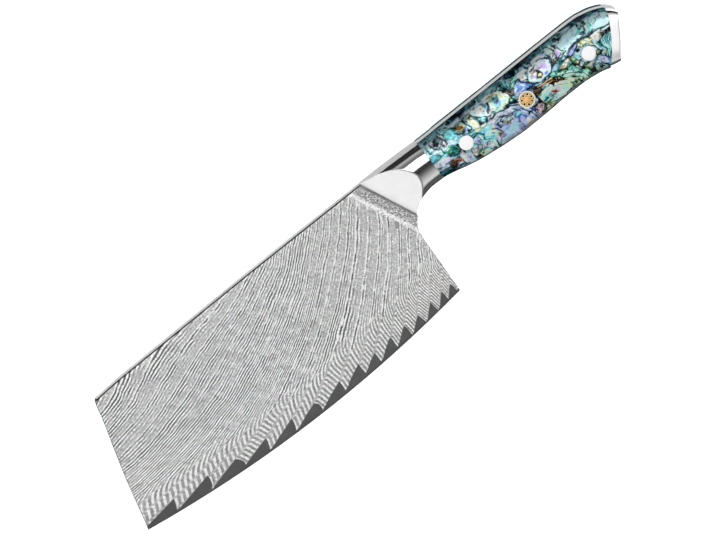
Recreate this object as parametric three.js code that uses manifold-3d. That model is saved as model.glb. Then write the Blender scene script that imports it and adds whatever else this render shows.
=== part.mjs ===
// Nakiri-style kitchen knife, lying on its right side.
//
// A three-layer blade (hard core between two patterned cladding sheets) is welded to a
// polished bolster. A flat tang runs from the bolster to the butt cap, two scales are
// bonded to it, and two plain rivets and one mosaic pin go through scales and tang.
//
// Every piece is drawn in the knife frame: +X from the blade tip to the butt, +Y from the
// cutting edge to the spine, +Z out of the left face, z = 0 on the mid-plane, x = 0 near
// the rear of the spine. The whole knife is then turned into its lying pose, with the
// origin under the middle of its box.

import * as THREE from 'three';
import { mergeVertices } from 'three/addons/utils/BufferGeometryUtils.js';
import Module from 'manifold-3d';

// ---------------------------------------------------------------- driving dimensions, mm
const GAP = 0.04;                 // weld, solder and glue gap between neighbouring pieces

// Blade outline
const EDGE_LOW_X = -72;           // lowest point of the curved cutting edge
const EDGE_LOW_Y = -72.45;
const EDGE_CURVE = 0.00083;       // y = EDGE_LOW_Y + EDGE_CURVE * (x - EDGE_LOW_X)^2
const TIP_LINE = [[-175.6, -80], [-170.9, -64.3], [-170.0, -61.3], [-165.1, -41.9], [-160.0, -24.7], [-155.0, -8.7], [-152.6, -0.4], [-151.9, 0.35]];
const SPINE = [[-140, 1.1], [-120, 1.5], [-100, 1.8], [-80, 2.1], [-60, 2.35], [-40, 2.45], [-20, 2.5]];
const HEEL = [[8.0, -80], [8.5, -67.0], [10.0, -37.0], [10.4, -33.2], [11.2, -30.8], [12.6, -28.6]];

// Blade section: half-thicknesses of the ground wedge
const EDGE_HALF = 0.06;           // at the cutting edge
const BEVEL_HEIGHT = 1.0;         // height of the edge bevel
const BEVEL_HALF = 0.28;          // at the top of the edge bevel
const FLAT_Y = -61;               // where the flat face begins
const FLAT_HALF = 0.50;
const TOP_Y = 4;                  // flat face drawn to here, then trimmed at the spine
const TOP_HALF = 1.12;
const CORE_HALF = 0.18;           // half-thickness of the core sheet between the claddings

// Where the cladding ends and the ground core shows, from the tip to the heel
const CORE_LINE = [
  [-182, -64.2], [-169.5, -62.4], [-152.8, -60.0], [-153.8, -62.8], [-155.0, -65.4], [-151.8, -65.1],
  [-134.2, -61.3], [-134.4, -63.5], [-135.1, -66.0], [-136.7, -68.0], [-133.8, -67.1], [-127.8, -65.5],
  [-119.7, -63.5], [-118.3, -64.9], [-117.5, -66.5], [-117.3, -67.6], [-117.7, -68.7], [-115.5, -68.0],
  [-102.8, -64.6], [-103.3, -66.9], [-104.1, -69.0], [-104.7, -70.4], [-102.8, -70.0], [-98.6, -68.5],
  [-88.2, -65.0], [-88.3, -66.6], [-88.9, -68.8], [-89.9, -71.0], [-87.5, -70.4], [-81.6, -67.9],
  [-75.8, -65.9], [-74.4, -67.5], [-74.2, -69.1], [-74.3, -70.3], [-74.6, -71.1], [-72.7, -70.3],
  [-67.7, -67.9], [-60.6, -65.1], [-60.6, -67.2], [-60.7, -69.3], [-61.0, -70.6], [-59.3, -69.9],
  [-55.2, -67.4], [-48.9, -64.4], [-48.9, -66.9], [-48.8, -68.8], [-48.8, -70.1], [-46.8, -69.0],
  [-43.7, -66.9], [-39.8, -64.9], [-39.8, -66.5], [-39.9, -68.7], [-39.9, -70.3], [-38.3, -69.5],
  [-34.1, -66.4], [-31.1, -64.3], [-29.8, -64.0], [-29.7, -65.4], [-29.9, -67.6], [-30.0, -69.6],
  [-29.2, -69.3], [-26.1, -66.9], [-22.7, -64.2], [-21.6, -63.7], [-21.3, -65.6], [-21.3, -68.1],
  [-21.2, -69.5], [-19.7, -68.7], [-16.3, -65.7], [-13.7, -63.6], [-13.2, -65.8], [-12.6, -68.8],
  [-10.9, -67.9], [-7.6, -64.4], [-5.7, -62.6], [-5.4, -65.1], [-5.0, -68.0], [-3.0, -66.7],
  [-0.3, -63.5], [1.5, -61.9], [1.7, -64.0], [1.7, -66.9], [3.4, -65.1], [5.7, -62.4], [6.7, -61.7],
  [7.1, -63.2], [7.2, -65.1], [7.1, -66.3], [8.6, -65.6], [14, -63.2],
];

// Weld line between blade and bolster, from the spine down to the heel notch
const WELD_TOP = [1.5, 2.3];
const WELD_LOW = [14.2, -26.9];
const PAD_HALF = 0.95;            // half-thickness of the bolster at the weld line
const PAD_SLOPE = 0.388;          // rise of the ground facet away from the weld line

// Handle envelope: x, top y, bottom y, half-thickness, half-width of the flat top, half-width of the flat bottom,
// and the fullness of the side above and below its middle (2 is an ellipse, higher is squarer)
const HANDLE = [
  [-4, 2.75, -32, 7.6, 4.3, 3.0, 2.5, 1.4], [3, 2.45, -31, 7.6, 4.3, 3.0, 2.5, 1.4], [8, 1.9, -30, 7.6, 4.3, 3.0, 2.5, 1.4],
  [13, 1.52, -28.2, 7.6, 4.3, 3.0, 2.5, 1.4], [14.2, 1.5, -26.9, 7.6, 4.3, 3.0, 2.5, 1.4], [15.2, 1.48, -24.9, 7.6, 4.3, 3.0, 2.5, 1.4],
  [17, 1.44, -23.1, 7.6, 4.3, 3.0, 2.5, 1.4], [20, 1.35, -20.8, 7.6, 4.3, 3.0, 2.5, 1.4], [24, 1.24, -19.5, 7.6, 4.3, 3.0, 2.5, 1.4],
  [28, 1.12, -18.95, 7.6, 4.3, 3.0, 2.5, 1.4], [34, 0.88, -19.08, 7.7, 4.2, 3.0, 2.5, 1.4], [40, 0.82, -20.25, 8.6, 4.15, 3.4, 2.7, 2.0],
  [46, 0.95, -21.7, 9.4, 4.1, 3.8, 2.9, 2.9], [53, 0.93, -23.2, 9.4, 4.0, 3.6, 3.2, 3.1], [60, 0.94, -24.17, 9.4, 4.0, 3.6, 3.4, 3.2],
  [68, 0.95, -25.06, 9.4, 4.0, 3.6, 3.4, 3.2], [78, 0.98, -25.58, 9.4, 4.0, 3.6, 3.4, 3.2], [90, 1.02, -25.4, 9.4, 4.0, 3.6, 3.4, 3.2],
  [102, 1.1, -24.95, 9.4, 4.0, 3.6, 3.4, 3.2], [110, 1.15, -25.0, 9.4, 4.0, 3.6, 3.4, 3.2], [118, 1.12, -25.84, 9.4, 4.0, 3.6, 3.4, 3.2],
  [122, 1.05, -26.7, 9.35, 4.0, 3.6, 3.4, 3.4], [126, 0.8, -28.1, 9.2, 4.2, 3.6, 3.6, 4.0], [129, 0.15, -28.6, 9.1, 4.5, 3.6, 4.2, 5.0],
  [132, -0.58, -28.8, 9.0, 5.0, 3.6, 5.5, 6.0], [135, -1.66, -28.9, 9.0, 5.3, 3.6, 5.5, 6.0], [138, -3.12, -29, 9.0, 5.5, 3.6, 5.5, 6.0],
  [140.5, -4.95, -29, 9.0, 5.5, 3.6, 5.5, 6.0], [142.5, -7.15, -29, 9.0, 5.5, 3.6, 5.5, 6.0], [145, -9.9, -29, 9.0, 5.5, 3.6, 5.5, 6.0],
];
const SIDE_STEPS = 15;            // segments in each side of the handle section; odd, so the middle one is a flat strip
const SCALE_FRONT_X = 34;         // scales and visible tang begin here

// Butt cap: joint with the scales, and outer end, both from top to bottom
const CAP_JOINT = [[139.6, 6], [139.1, -1.5], [138.0, -5.3], [135.6, -10.2], [133.2, -14.4], [130.6, -18.4], [127.7, -22.1], [125.0, -25.9], [120.5, -33]];
const CAP_END = [[143.2, 6], [143.0, -6.2], [142.0, -8.2], [140.0, -11.8], [138.0, -15.2], [136.0, -18.3], [134.0, -21.2], [132.0, -23.9], [130.0, -26.7], [125.6, -33]];

// Tang, bond line and tongues
const TANG_HALF = 2.1;
const BOND = 0.15;                // thickness of the epoxy film
const FRONT_TONGUE = [22, 34.5, -14.0, -4.5];     // x0, x1, y0, y1: plugged into the bolster
const REAR_TONGUE = [[127, -8], [136.2, -8], [135.2, -13], [133.0, -17], [127, -17]];

// Rivets and mosaic pin
const RIVET_R = 3.22;
const RIVETS = { rivet_front: [51.7, -11.4], rivet_rear: [120.2, -14.1] };
const MOSAIC_AT = [85.4, -13.1];
const SLEEVE_R = 3.97, SLEEVE_BORE = 3.36;
const TUBES = 7, TUBE_PITCH_R = 2.42, TUBE_R = 0.8, TUBE_BORE = 0.52;
const CORE_ROD_R = 1.36;
const PIN_HALF = 9.36;            // half-length: ends ground flush with the scales

// Lying pose: tip corner and handle on the surface
const REST_PITCH = -2.352;         // degrees about Y: tip corner and front of the handle carry the knife

// ---------------------------------------------------------------- geometry helpers
const wasm = await Module();
wasm.setup();

function solid(geometry) {
  const g = geometry.clone();
  for (const name of Object.keys(g.attributes)) if (name !== 'position') g.deleteAttribute(name);
  const m = mergeVertices(g, 1e-5);
  const body = new wasm.Manifold(new wasm.Mesh({
    numProp: 3,
    vertProperties: new Float32Array(m.attributes.position.array),
    triVerts: new Uint32Array(m.index.array),
  }));
  return body;
}

function geometryOf(body) {
  const mesh = body.getMesh();
  const g = new THREE.BufferGeometry();
  g.setAttribute('position', new THREE.BufferAttribute(new Float32Array(mesh.vertProperties), 3));
  g.setIndex(new THREE.BufferAttribute(new Uint32Array(mesh.triVerts), 1));
  g.computeVertexNormals();
  return g;
}

// Straight prism over a closed outline in the XY plane
function prism(points, z0, z1, holes = []) {
  const shape = new THREE.Shape(points.map(([x, y]) => new THREE.Vector2(x, y)));
  for (const h of holes) shape.holes.push(new THREE.Path(h.map(([x, y]) => new THREE.Vector2(x, y))));
  const g = new THREE.ExtrudeGeometry(shape, { depth: z1 - z0, bevelEnabled: false, steps: 1 });
  return g.translate(0, 0, z0);
}

function circle(cx, cy, r, n, turn = 0) {
  return Array.from({ length: n }, (_, i) => {
    const a = turn + (2 * Math.PI * i) / n;
    return [cx + r * Math.cos(a), cy + r * Math.sin(a)];
  });
}

// Closed loft through rings of equal length; each ring runs the same way round
function loft(rings) {
  const n = rings[0].length;
  const pos = rings.flat().flat();
  const index = [];
  for (let i = 0; i + 1 < rings.length; i++) {
    for (let j = 0; j < n; j++) {
      const a = i * n + j, b = i * n + ((j + 1) % n), c = a + n, d = b + n;
      index.push(a, b, d, a, d, c);
    }
  }
  const last = (rings.length - 1) * n;
  for (let j = 1; j + 1 < n; j++) {
    index.push(0, j + 1, j);
    index.push(last, last + j, last + j + 1);
  }
  const g = new THREE.BufferGeometry();
  g.setAttribute('position', new THREE.BufferAttribute(new Float32Array(pos), 3));
  g.setIndex(index);
  return g;
}

// Open polyline moved sideways (to its left) by a small distance
function offsetLine(line, dist) {
  return line.map(([x, y], i) => {
    const n = new THREE.Vector2();
    for (const [a, b] of [[i - 1, i], [i, i + 1]]) {
      if (a < 0 || b >= line.length) continue;
      const d = new THREE.Vector2(line[b][0] - line[a][0], line[b][1] - line[a][1]).normalize();
      n.add(new THREE.Vector2(-d.y, d.x));
    }
    n.normalize();
    return [x + n.x * dist, y + n.y * dist];
  });
}

const shiftX = (line, d) => line.map(([x, y]) => [x + d, y]);

// ---------------------------------------------------------------- blade
const edgeY = (x) => EDGE_LOW_Y + EDGE_CURVE * (x - EDGE_LOW_X) ** 2;

const bladeRings = [];
for (let x = -178; x <= 18.01; x += 9.8) {
  const e = edgeY(x);
  bladeRings.push([
    [x, e, EDGE_HALF], [x, e, -EDGE_HALF], [x, e + BEVEL_HEIGHT, -BEVEL_HALF], [x, FLAT_Y, -FLAT_HALF],
    [x, TOP_Y, -TOP_HALF], [x, TOP_Y, TOP_HALF], [x, FLAT_Y, FLAT_HALF], [x, e + BEVEL_HEIGHT, BEVEL_HALF],
  ]);
}
const weldDir = new THREE.Vector2(WELD_LOW[0] - WELD_TOP[0], WELD_LOW[1] - WELD_TOP[1]).normalize();
const weldNormal = new THREE.Vector2(-weldDir.y, weldDir.x);   // towards the butt
const onBladeSide = ([x, y]) => [x - weldNormal.x * GAP, y - weldNormal.y * GAP];
const bladeOutline = [...HEEL, onBladeSide(WELD_LOW), onBladeSide([WELD_TOP[0] - weldDir.x * 0.3, WELD_TOP[1] - weldDir.y * 0.3]),
  ...[...SPINE].reverse(), ...[...TIP_LINE].reverse()];
const wedge = solid(loft(bladeRings)).intersect(solid(prism(bladeOutline, -3, 3)));

const aboveCore = (line) => [...line, [30, 30], [-190, 30]];
const cut = (line, z0, z1) => solid(prism(aboveCore(line), z0, z1));
const claddingLine = offsetLine(CORE_LINE, GAP);
const coreSteel = wedge.subtract(cut(CORE_LINE, CORE_HALF, 4)).subtract(cut(CORE_LINE, -4, -CORE_HALF));
const claddingLeft = wedge.intersect(cut(claddingLine, CORE_HALF + GAP, 4));
const claddingRight = wedge.intersect(cut(claddingLine, -4, -CORE_HALF - GAP));

// ---------------------------------------------------------------- handle envelope
function handleRing([x, top, low, half, flatTop, flatLow, fullUp, fullLow]) {
  const ring = [];
  const mid = (top + low) / 2, reach = (top - low) / 2;
  const side = (sign) => {
    for (let i = 0; i <= SIDE_STEPS; i++) {
      const a = (Math.PI * (sign > 0 ? i : SIDE_STEPS - i)) / SIDE_STEPS;
      const c = Math.cos(a);
      const upper = c > 0;
      const flat = upper ? flatTop : flatLow;
      ring.push([x, mid + reach * Math.sign(c) * Math.abs(c) ** (2 / (upper ? fullUp : fullLow)), sign * (flat + (half - flat) * Math.sin(a))]);
    }
  };
  side(1);                        // left, from spine to belly
  side(-1);                       // right, from belly to spine
  return ring;
}
const envelope = solid(loft(HANDLE.map(handleRing)));

const pinHoles = (clear) => [
  circle(...RIVETS.rivet_front, RIVET_R + clear, 32),
  circle(...MOSAIC_AT, SLEEVE_R + clear, 32),
  circle(...RIVETS.rivet_rear, RIVET_R + clear, 32),
];

// Side outline of the scales, the bond films and the visible tang
const gripOutline = [[SCALE_FRONT_X + GAP, -40], ...shiftX(CAP_JOINT, -GAP).reverse(), [SCALE_FRONT_X + GAP, 6]];
const drilled = (z0, z1) => envelope.intersect(solid(prism(gripOutline, z0, z1, pinHoles(GAP))));
const scaleLeft = drilled(TANG_HALF + BOND + 2 * GAP, 12);
const scaleRight = drilled(-12, -TANG_HALF - BOND - 2 * GAP);
const bondLeft = drilled(TANG_HALF + GAP, TANG_HALF + GAP + BOND);
const bondRight = drilled(-TANG_HALF - GAP - BOND, -TANG_HALF - GAP);

const [tx0, tx1, ty0, ty1] = FRONT_TONGUE;
const tongueFront = (c) => solid(prism([[tx0 - c, ty0 - c], [tx1, ty0 - c], [tx1, ty1 + c], [tx0 - c, ty1 + c]], -TANG_HALF + 0.2 - c, TANG_HALF - 0.2 + c));
const rearTongueOutline = (c) => REAR_TONGUE.map(([x, y], i) => [x + (i > 0 && i < 4 ? c : 0), y + (i < 2 ? c : i > 2 ? -c : 0)]);
const tongueRear = (c) => solid(prism(rearTongueOutline(c), -TANG_HALF + 0.2 - c, TANG_HALF - 0.2 + c));
const tang = drilled(-TANG_HALF, TANG_HALF).add(tongueFront(0)).add(tongueRear(0));

const capOutline = [...CAP_JOINT].reverse().concat(CAP_END);
const buttCap = envelope.intersect(solid(prism([...capOutline].reverse(), -12, 12))).subtract(tongueRear(GAP));

// Bolster: the envelope ahead of the scales, ground to a sloping facet on each side
const facetShape = [[0, -PAD_HALF], [44, -PAD_HALF - 44 * PAD_SLOPE], [44, PAD_HALF + 44 * PAD_SLOPE], [0, PAD_HALF]];
const facets = prism(facetShape, -30, 70).applyMatrix4(new THREE.Matrix4().makeBasis(
  new THREE.Vector3(weldNormal.x, weldNormal.y, 0), new THREE.Vector3(0, 0, 1), new THREE.Vector3(weldDir.x, weldDir.y, 0),
).setPosition(WELD_TOP[0], WELD_TOP[1], 0));
const bolster = envelope
  .intersect(solid(prism([[-10, -45], [SCALE_FRONT_X, -45], [SCALE_FRONT_X, 10], [-10, 10]], -12, 12)))
  .intersect(solid(facets))
  .subtract(tongueFront(GAP));

// ---------------------------------------------------------------- rivets and mosaic pin
const turned = (profile, n) => {
  const g = new THREE.LatheGeometry(profile.map(([r, z]) => new THREE.Vector2(r, z)), n);
  return g.rotateX(Math.PI / 2);
};
const rod = (r, n, half = PIN_HALF) => turned([[0, -half], [r - 0.12, -half], [r, -half + 0.12], [r, half - 0.12], [r - 0.12, half], [0, half]], n);
const pipe = (outer, bore, n, half = PIN_HALF) => turned([[bore, -half], [outer, -half], [outer, half], [bore, half], [bore, -half]], n);
const tubeAt = (i) => {
  const a = (102 * Math.PI) / 180 + (2 * Math.PI * i) / TUBES;
  return [MOSAIC_AT[0] + TUBE_PITCH_R * Math.cos(a), MOSAIC_AT[1] + TUBE_PITCH_R * Math.sin(a)];
};
const FILL = 0.03;                // clearance around the brass filler and the plugs of the mosaic pin
const brassFiller = prism(circle(...MOSAIC_AT, SLEEVE_BORE - FILL, 32), -PIN_HALF, PIN_HALF, [
  circle(...MOSAIC_AT, CORE_ROD_R + FILL, 16),
  ...Array.from({ length: TUBES }, (_, i) => circle(...tubeAt(i), TUBE_R + FILL, 16)),
]);

// ---------------------------------------------------------------- assembly
const finish = {
  core: new THREE.MeshStandardMaterial({ color: 0x6a6b6d, roughness: 0.45, metalness: 0.9 }),
  damascus: new THREE.MeshStandardMaterial({ color: 0xc9cacc, roughness: 0.38, metalness: 0.85 }),
  satin: new THREE.MeshStandardMaterial({ color: 0xe3e4e6, roughness: 0.3, metalness: 0.95 }),
  polished: new THREE.MeshStandardMaterial({ color: 0xf0f0f2, roughness: 0.15, metalness: 1.0 }),
  shell: new THREE.MeshStandardMaterial({ color: 0x6fb0b4, roughness: 0.2, metalness: 0.1 }),
  epoxy: new THREE.MeshStandardMaterial({ color: 0x2a2c2e, roughness: 0.6, metalness: 0.0 }),
  brass: new THREE.MeshStandardMaterial({ color: 0xd9b877, roughness: 0.3, metalness: 1.0 }),
  copper: new THREE.MeshStandardMaterial({ color: 0xc98a55, roughness: 0.3, metalness: 1.0 }),
  resin: new THREE.MeshStandardMaterial({ color: 0x151517, roughness: 0.35, metalness: 0.0 }),
};
const knife = new THREE.Group();
function put(name, shape, material, at = [0, 0]) {
  const mesh = new THREE.Mesh(shape.isBufferGeometry ? shape : geometryOf(shape), material);
  mesh.name = name;
  mesh.position.set(at[0], at[1], 0);
  knife.add(mesh);
}
put('core_steel', coreSteel, finish.core);
put('cladding_left', claddingLeft, finish.damascus);
put('cladding_right', claddingRight, finish.damascus);
put('bolster', bolster, finish.satin);
put('tang', tang, finish.satin);
put('butt_cap', buttCap, finish.polished);
put('scale_left', scaleLeft, finish.shell);
put('scale_right', scaleRight, finish.shell);
put('bond_film_left', bondLeft, finish.epoxy);
put('bond_film_right', bondRight, finish.epoxy);
for (const [name, at] of Object.entries(RIVETS)) put(name, rod(RIVET_R, 32), finish.polished, at);
put('mosaic_sleeve', pipe(SLEEVE_R, SLEEVE_BORE, 32), finish.brass, MOSAIC_AT);
put('mosaic_core_rod', rod(CORE_ROD_R, 16), finish.copper, MOSAIC_AT);
for (let i = 0; i < TUBES; i++) {
  put(`mosaic_tube_${i + 1}`, pipe(TUBE_R, TUBE_BORE, 16), finish.brass, tubeAt(i));
  put(`resin_plug_${i + 1}`, rod(TUBE_BORE - FILL, 12), finish.resin, tubeAt(i));
}
put('mosaic_filler', brassFiller, finish.brass);

// Turn the knife into its lying pose, then set the origin under the middle of its box
knife.rotation.y = THREE.MathUtils.degToRad(REST_PITCH);
const lying = new THREE.Group();
lying.add(knife);
lying.updateMatrixWorld(true);
const box = new THREE.Box3().setFromObject(lying, true);
knife.position.set(-(box.min.x + box.max.x) / 2, -(box.min.y + box.max.y) / 2, -box.min.z);
lying.updateMatrixWorld(true);

export default lying;
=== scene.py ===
import math

import bpy
import numpy as np
from mathutils import Matrix, Vector
from mathutils.geometry import delaunay_2d_cdt


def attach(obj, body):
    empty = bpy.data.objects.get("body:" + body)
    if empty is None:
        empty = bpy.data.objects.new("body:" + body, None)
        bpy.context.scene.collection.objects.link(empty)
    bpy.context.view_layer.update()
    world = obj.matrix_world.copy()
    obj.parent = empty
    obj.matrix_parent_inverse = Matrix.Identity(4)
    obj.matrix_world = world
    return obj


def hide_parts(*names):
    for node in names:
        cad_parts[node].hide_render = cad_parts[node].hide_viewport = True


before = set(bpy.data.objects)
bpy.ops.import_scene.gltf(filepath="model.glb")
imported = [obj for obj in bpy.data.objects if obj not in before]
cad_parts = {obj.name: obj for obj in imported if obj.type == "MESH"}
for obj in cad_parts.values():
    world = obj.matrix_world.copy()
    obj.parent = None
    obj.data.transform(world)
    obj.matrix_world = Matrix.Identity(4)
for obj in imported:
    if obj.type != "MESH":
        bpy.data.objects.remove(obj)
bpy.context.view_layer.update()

# The knife frame: +X from tip to butt, +Y from edge to spine, +Z out of the left face, millimetres.
# REST puts it into its lying pose; every new piece is drawn in the knife frame and carries REST as its matrix.
REST = Matrix.Translation((0.014069748494, 0.034944079518, 0.007475295158)) @ Matrix.Rotation(math.radians(-2.352), 4, "Y")

# ------------------------------------------------------------------ dimensions, mm (as in the CAD part)
GAP = 0.04
EDGE_LOW_X, EDGE_LOW_Y, EDGE_CURVE = -72.0, -72.45, 0.00083
TIP_LINE = [(-170.0, -61.3), (-165.1, -41.9), (-160.0, -24.7), (-155.0, -8.7), (-152.6, -0.4), (-151.9, 0.35)]
SPINE = [(-140, 1.1), (-120, 1.5), (-100, 1.8), (-80, 2.1), (-60, 2.35), (-40, 2.45), (-20, 2.5)]
HEEL = [(8.5, -67.0), (10.0, -37.0), (10.4, -33.2), (11.2, -30.8), (12.6, -28.6)]
CORE_HALF = 0.18
CORE_LINE = [
    (-182, -64.2), (-169.5, -62.4), (-152.8, -60.0), (-153.8, -62.8), (-155.0, -65.4), (-151.8, -65.1),
    (-134.2, -61.3), (-134.4, -63.5), (-135.1, -66.0), (-136.7, -68.0), (-133.8, -67.1), (-127.8, -65.5),
    (-119.7, -63.5), (-118.3, -64.9), (-117.5, -66.5), (-117.3, -67.6), (-117.7, -68.7), (-115.5, -68.0),
    (-102.8, -64.6), (-103.3, -66.9), (-104.1, -69.0), (-104.7, -70.4), (-102.8, -70.0), (-98.6, -68.5),
    (-88.2, -65.0), (-88.3, -66.6), (-88.9, -68.8), (-89.9, -71.0), (-87.5, -70.4), (-81.6, -67.9),
    (-75.8, -65.9), (-74.4, -67.5), (-74.2, -69.1), (-74.3, -70.3), (-74.6, -71.1), (-72.7, -70.3),
    (-67.7, -67.9), (-60.6, -65.1), (-60.6, -67.2), (-60.7, -69.3), (-61.0, -70.6), (-59.3, -69.9),
    (-55.2, -67.4), (-48.9, -64.4), (-48.9, -66.9), (-48.8, -68.8), (-48.8, -70.1), (-46.8, -69.0),
    (-43.7, -66.9), (-39.8, -64.9), (-39.8, -66.5), (-39.9, -68.7), (-39.9, -70.3), (-38.3, -69.5),
    (-34.1, -66.4), (-31.1, -64.3), (-29.8, -64.0), (-29.7, -65.4), (-29.9, -67.6), (-30.0, -69.6),
    (-29.2, -69.3), (-26.1, -66.9), (-22.7, -64.2), (-21.6, -63.7), (-21.3, -65.6), (-21.3, -68.1),
    (-21.2, -69.5), (-19.7, -68.7), (-16.3, -65.7), (-13.7, -63.6), (-13.2, -65.8), (-12.6, -68.8),
    (-10.9, -67.9), (-7.6, -64.4), (-5.7, -62.6), (-5.4, -65.1), (-5.0, -68.0), (-3.0, -66.7),
    (-0.3, -63.5), (1.5, -61.9), (1.7, -64.0), (1.7, -66.9), (3.4, -65.1), (5.7, -62.4), (6.7, -61.7),
    (7.1, -63.2), (7.2, -65.1), (7.1, -66.3), (8.6, -65.6), (14, -63.2),
]
WELD_TOP, WELD_LOW = (1.5, 2.3), (14.2, -26.9)
PAD_HALF, PAD_SLOPE = 0.95, 0.388
# x, top y, bottom y, half-thickness, half-width of flat top, of flat bottom, fullness of the side above and below its middle
HANDLE = np.array([
    [-4, 2.75, -32, 7.6, 4.3, 3.0, 2.5, 1.4], [3, 2.45, -31, 7.6, 4.3, 3.0, 2.5, 1.4], [8, 1.9, -30, 7.6, 4.3, 3.0, 2.5, 1.4],
    [13, 1.52, -28.2, 7.6, 4.3, 3.0, 2.5, 1.4], [14.2, 1.5, -26.9, 7.6, 4.3, 3.0, 2.5, 1.4], [15.2, 1.48, -24.9, 7.6, 4.3, 3.0, 2.5, 1.4],
    [17, 1.44, -23.1, 7.6, 4.3, 3.0, 2.5, 1.4], [20, 1.35, -20.8, 7.6, 4.3, 3.0, 2.5, 1.4], [24, 1.24, -19.5, 7.6, 4.3, 3.0, 2.5, 1.4],
    [28, 1.12, -18.95, 7.6, 4.3, 3.0, 2.5, 1.4], [34, 0.88, -19.08, 7.7, 4.2, 3.0, 2.5, 1.4], [40, 0.82, -20.25, 8.6, 4.15, 3.4, 2.7, 2.0],
    [46, 0.95, -21.7, 9.4, 4.1, 3.8, 2.9, 2.9], [53, 0.93, -23.2, 9.4, 4.0, 3.6, 3.2, 3.1], [60, 0.94, -24.17, 9.4, 4.0, 3.6, 3.4, 3.2],
    [68, 0.95, -25.06, 9.4, 4.0, 3.6, 3.4, 3.2], [78, 0.98, -25.58, 9.4, 4.0, 3.6, 3.4, 3.2], [90, 1.02, -25.4, 9.4, 4.0, 3.6, 3.4, 3.2],
    [102, 1.1, -24.95, 9.4, 4.0, 3.6, 3.4, 3.2], [110, 1.15, -25.0, 9.4, 4.0, 3.6, 3.4, 3.2], [118, 1.12, -25.84, 9.4, 4.0, 3.6, 3.4, 3.2],
    [122, 1.05, -26.7, 9.35, 4.0, 3.6, 3.4, 3.4], [126, 0.8, -28.1, 9.2, 4.2, 3.6, 3.6, 4.0], [129, 0.15, -28.6, 9.1, 4.5, 3.6, 4.2, 5.0],
    [132, -0.58, -28.8, 9.0, 5.0, 3.6, 5.5, 6.0], [135, -1.66, -28.9, 9.0, 5.3, 3.6, 5.5, 6.0], [138, -3.12, -29, 9.0, 5.5, 3.6, 5.5, 6.0],
    [140.5, -4.95, -29, 9.0, 5.5, 3.6, 5.5, 6.0], [142.5, -7.15, -29, 9.0, 5.5, 3.6, 5.5, 6.0], [145, -9.9, -29, 9.0, 5.5, 3.6, 5.5, 6.0],
])
SCALE_FRONT_X = 34.0
CAP_JOINT = [(139.6, 6), (139.1, -1.5), (138.0, -5.3), (135.6, -10.2), (133.2, -14.4), (130.6, -18.4), (127.7, -22.1), (125.0, -25.9), (120.5, -33)]
CAP_END = [(143.2, 6), (143.0, -6.2), (142.0, -8.2), (140.0, -11.8), (138.0, -15.2), (136.0, -18.3), (134.0, -21.2), (132.0, -23.9), (130.0, -26.7), (125.6, -33)]
TANG_HALF, BOND = 2.1, 0.15
RIVET_R = 3.36
RIVETS = {"rivet_front": (51.7, -11.4), "rivet_rear": (120.2, -14.1)}
MOSAIC_AT = (85.4, -13.1)
SLEEVE_R, SLEEVE_BORE = 3.97, 3.36
TUBES, TUBE_PITCH_R, TUBE_R, TUBE_BORE, CORE_ROD_R = 7, 2.42, 0.80, 0.52, 1.36
TUBE_START = math.radians(102.0)
PIN_HALF = 9.38


# ------------------------------------------------------------------ small numeric helpers
def pchip(xs, ys):
    """Shape-keeping cubic through the points, as a function on arrays."""
    xs, ys = np.asarray(xs, float), np.asarray(ys, float)
    h = np.diff(xs)
    s = np.diff(ys) / h
    m = np.zeros_like(ys)
    m[0], m[-1] = s[0], s[-1]
    for i in range(1, len(xs) - 1):
        if s[i - 1] * s[i] > 0:
            w1, w2 = 2 * h[i] + h[i - 1], h[i] + 2 * h[i - 1]
            m[i] = (w1 + w2) / (w1 / s[i - 1] + w2 / s[i])

    def f(x):
        x = np.asarray(x, float)
        i = np.clip(np.searchsorted(xs, x) - 1, 0, len(h) - 1)
        t = np.clip((x - xs[i]) / h[i], 0.0, 1.0)
        return ((1 + 2 * t) * (1 - t) ** 2 * ys[i] + t * (1 - t) ** 2 * h[i] * m[i]
                + t * t * (3 - 2 * t) * ys[i + 1] + t * t * (t - 1) * h[i] * m[i + 1])
    return f


TOP_F, LOW_F, HALF_F, FLAT_T, FLAT_L, FULL_U, FULL_L = (pchip(HANDLE[:, 0], HANDLE[:, k]) for k in range(1, 8))
weld_len = math.hypot(WELD_LOW[0] - WELD_TOP[0], WELD_LOW[1] - WELD_TOP[1])
WX, WY = (WELD_LOW[0] - WELD_TOP[0]) / weld_len, (WELD_LOW[1] - WELD_TOP[1]) / weld_len
NX, NY = -WY, WX                      # from the weld line towards the butt


def edge_y(x):
    return EDGE_LOW_Y + EDGE_CURVE * (x - EDGE_LOW_X) ** 2


def weld_q(x, y):
    return (x - WELD_TOP[0]) * NX + (y - WELD_TOP[1]) * NY


def softmin(a, b, k):
    h = np.clip(0.5 + 0.5 * (b - a) / k, 0, 1)
    return b * (1 - h) + a * h - k * h * (1 - h)


def round_drop(e, r):
    """How far a surface falls at distance e from a rounded edge of radius r."""
    return r - np.sqrt(np.maximum(0.0, r * r - np.maximum(0.0, r - e) ** 2))


# ------------------------------------------------------------------ piece helpers
def add_piece(name, verts, faces, materials, replaces=(), slot=None, sharp=30.0, face_mat=None):
    me = bpy.data.meshes.new(name)
    me.from_pydata([tuple(float(c) * 0.001 for c in v) for v in verts], [], faces)
    me.validate()
    for m in materials:
        me.materials.append(m)
    if face_mat is not None:
        me.polygons.foreach_set("material_index", np.asarray(face_mat, dtype=np.int32))
    me.polygons.foreach_set("use_smooth", np.ones(len(me.polygons), dtype=bool))
    me.set_sharp_from_angle(angle=math.radians(sharp))
    me.update()
    ob = bpy.data.objects.new(name, me)
    bpy.context.scene.collection.objects.link(ob)
    ob.matrix_world = REST
    bpy.context.view_layer.update()
    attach(ob, "root")
    if replaces:
        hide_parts(*replaces)
    return ob


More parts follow.
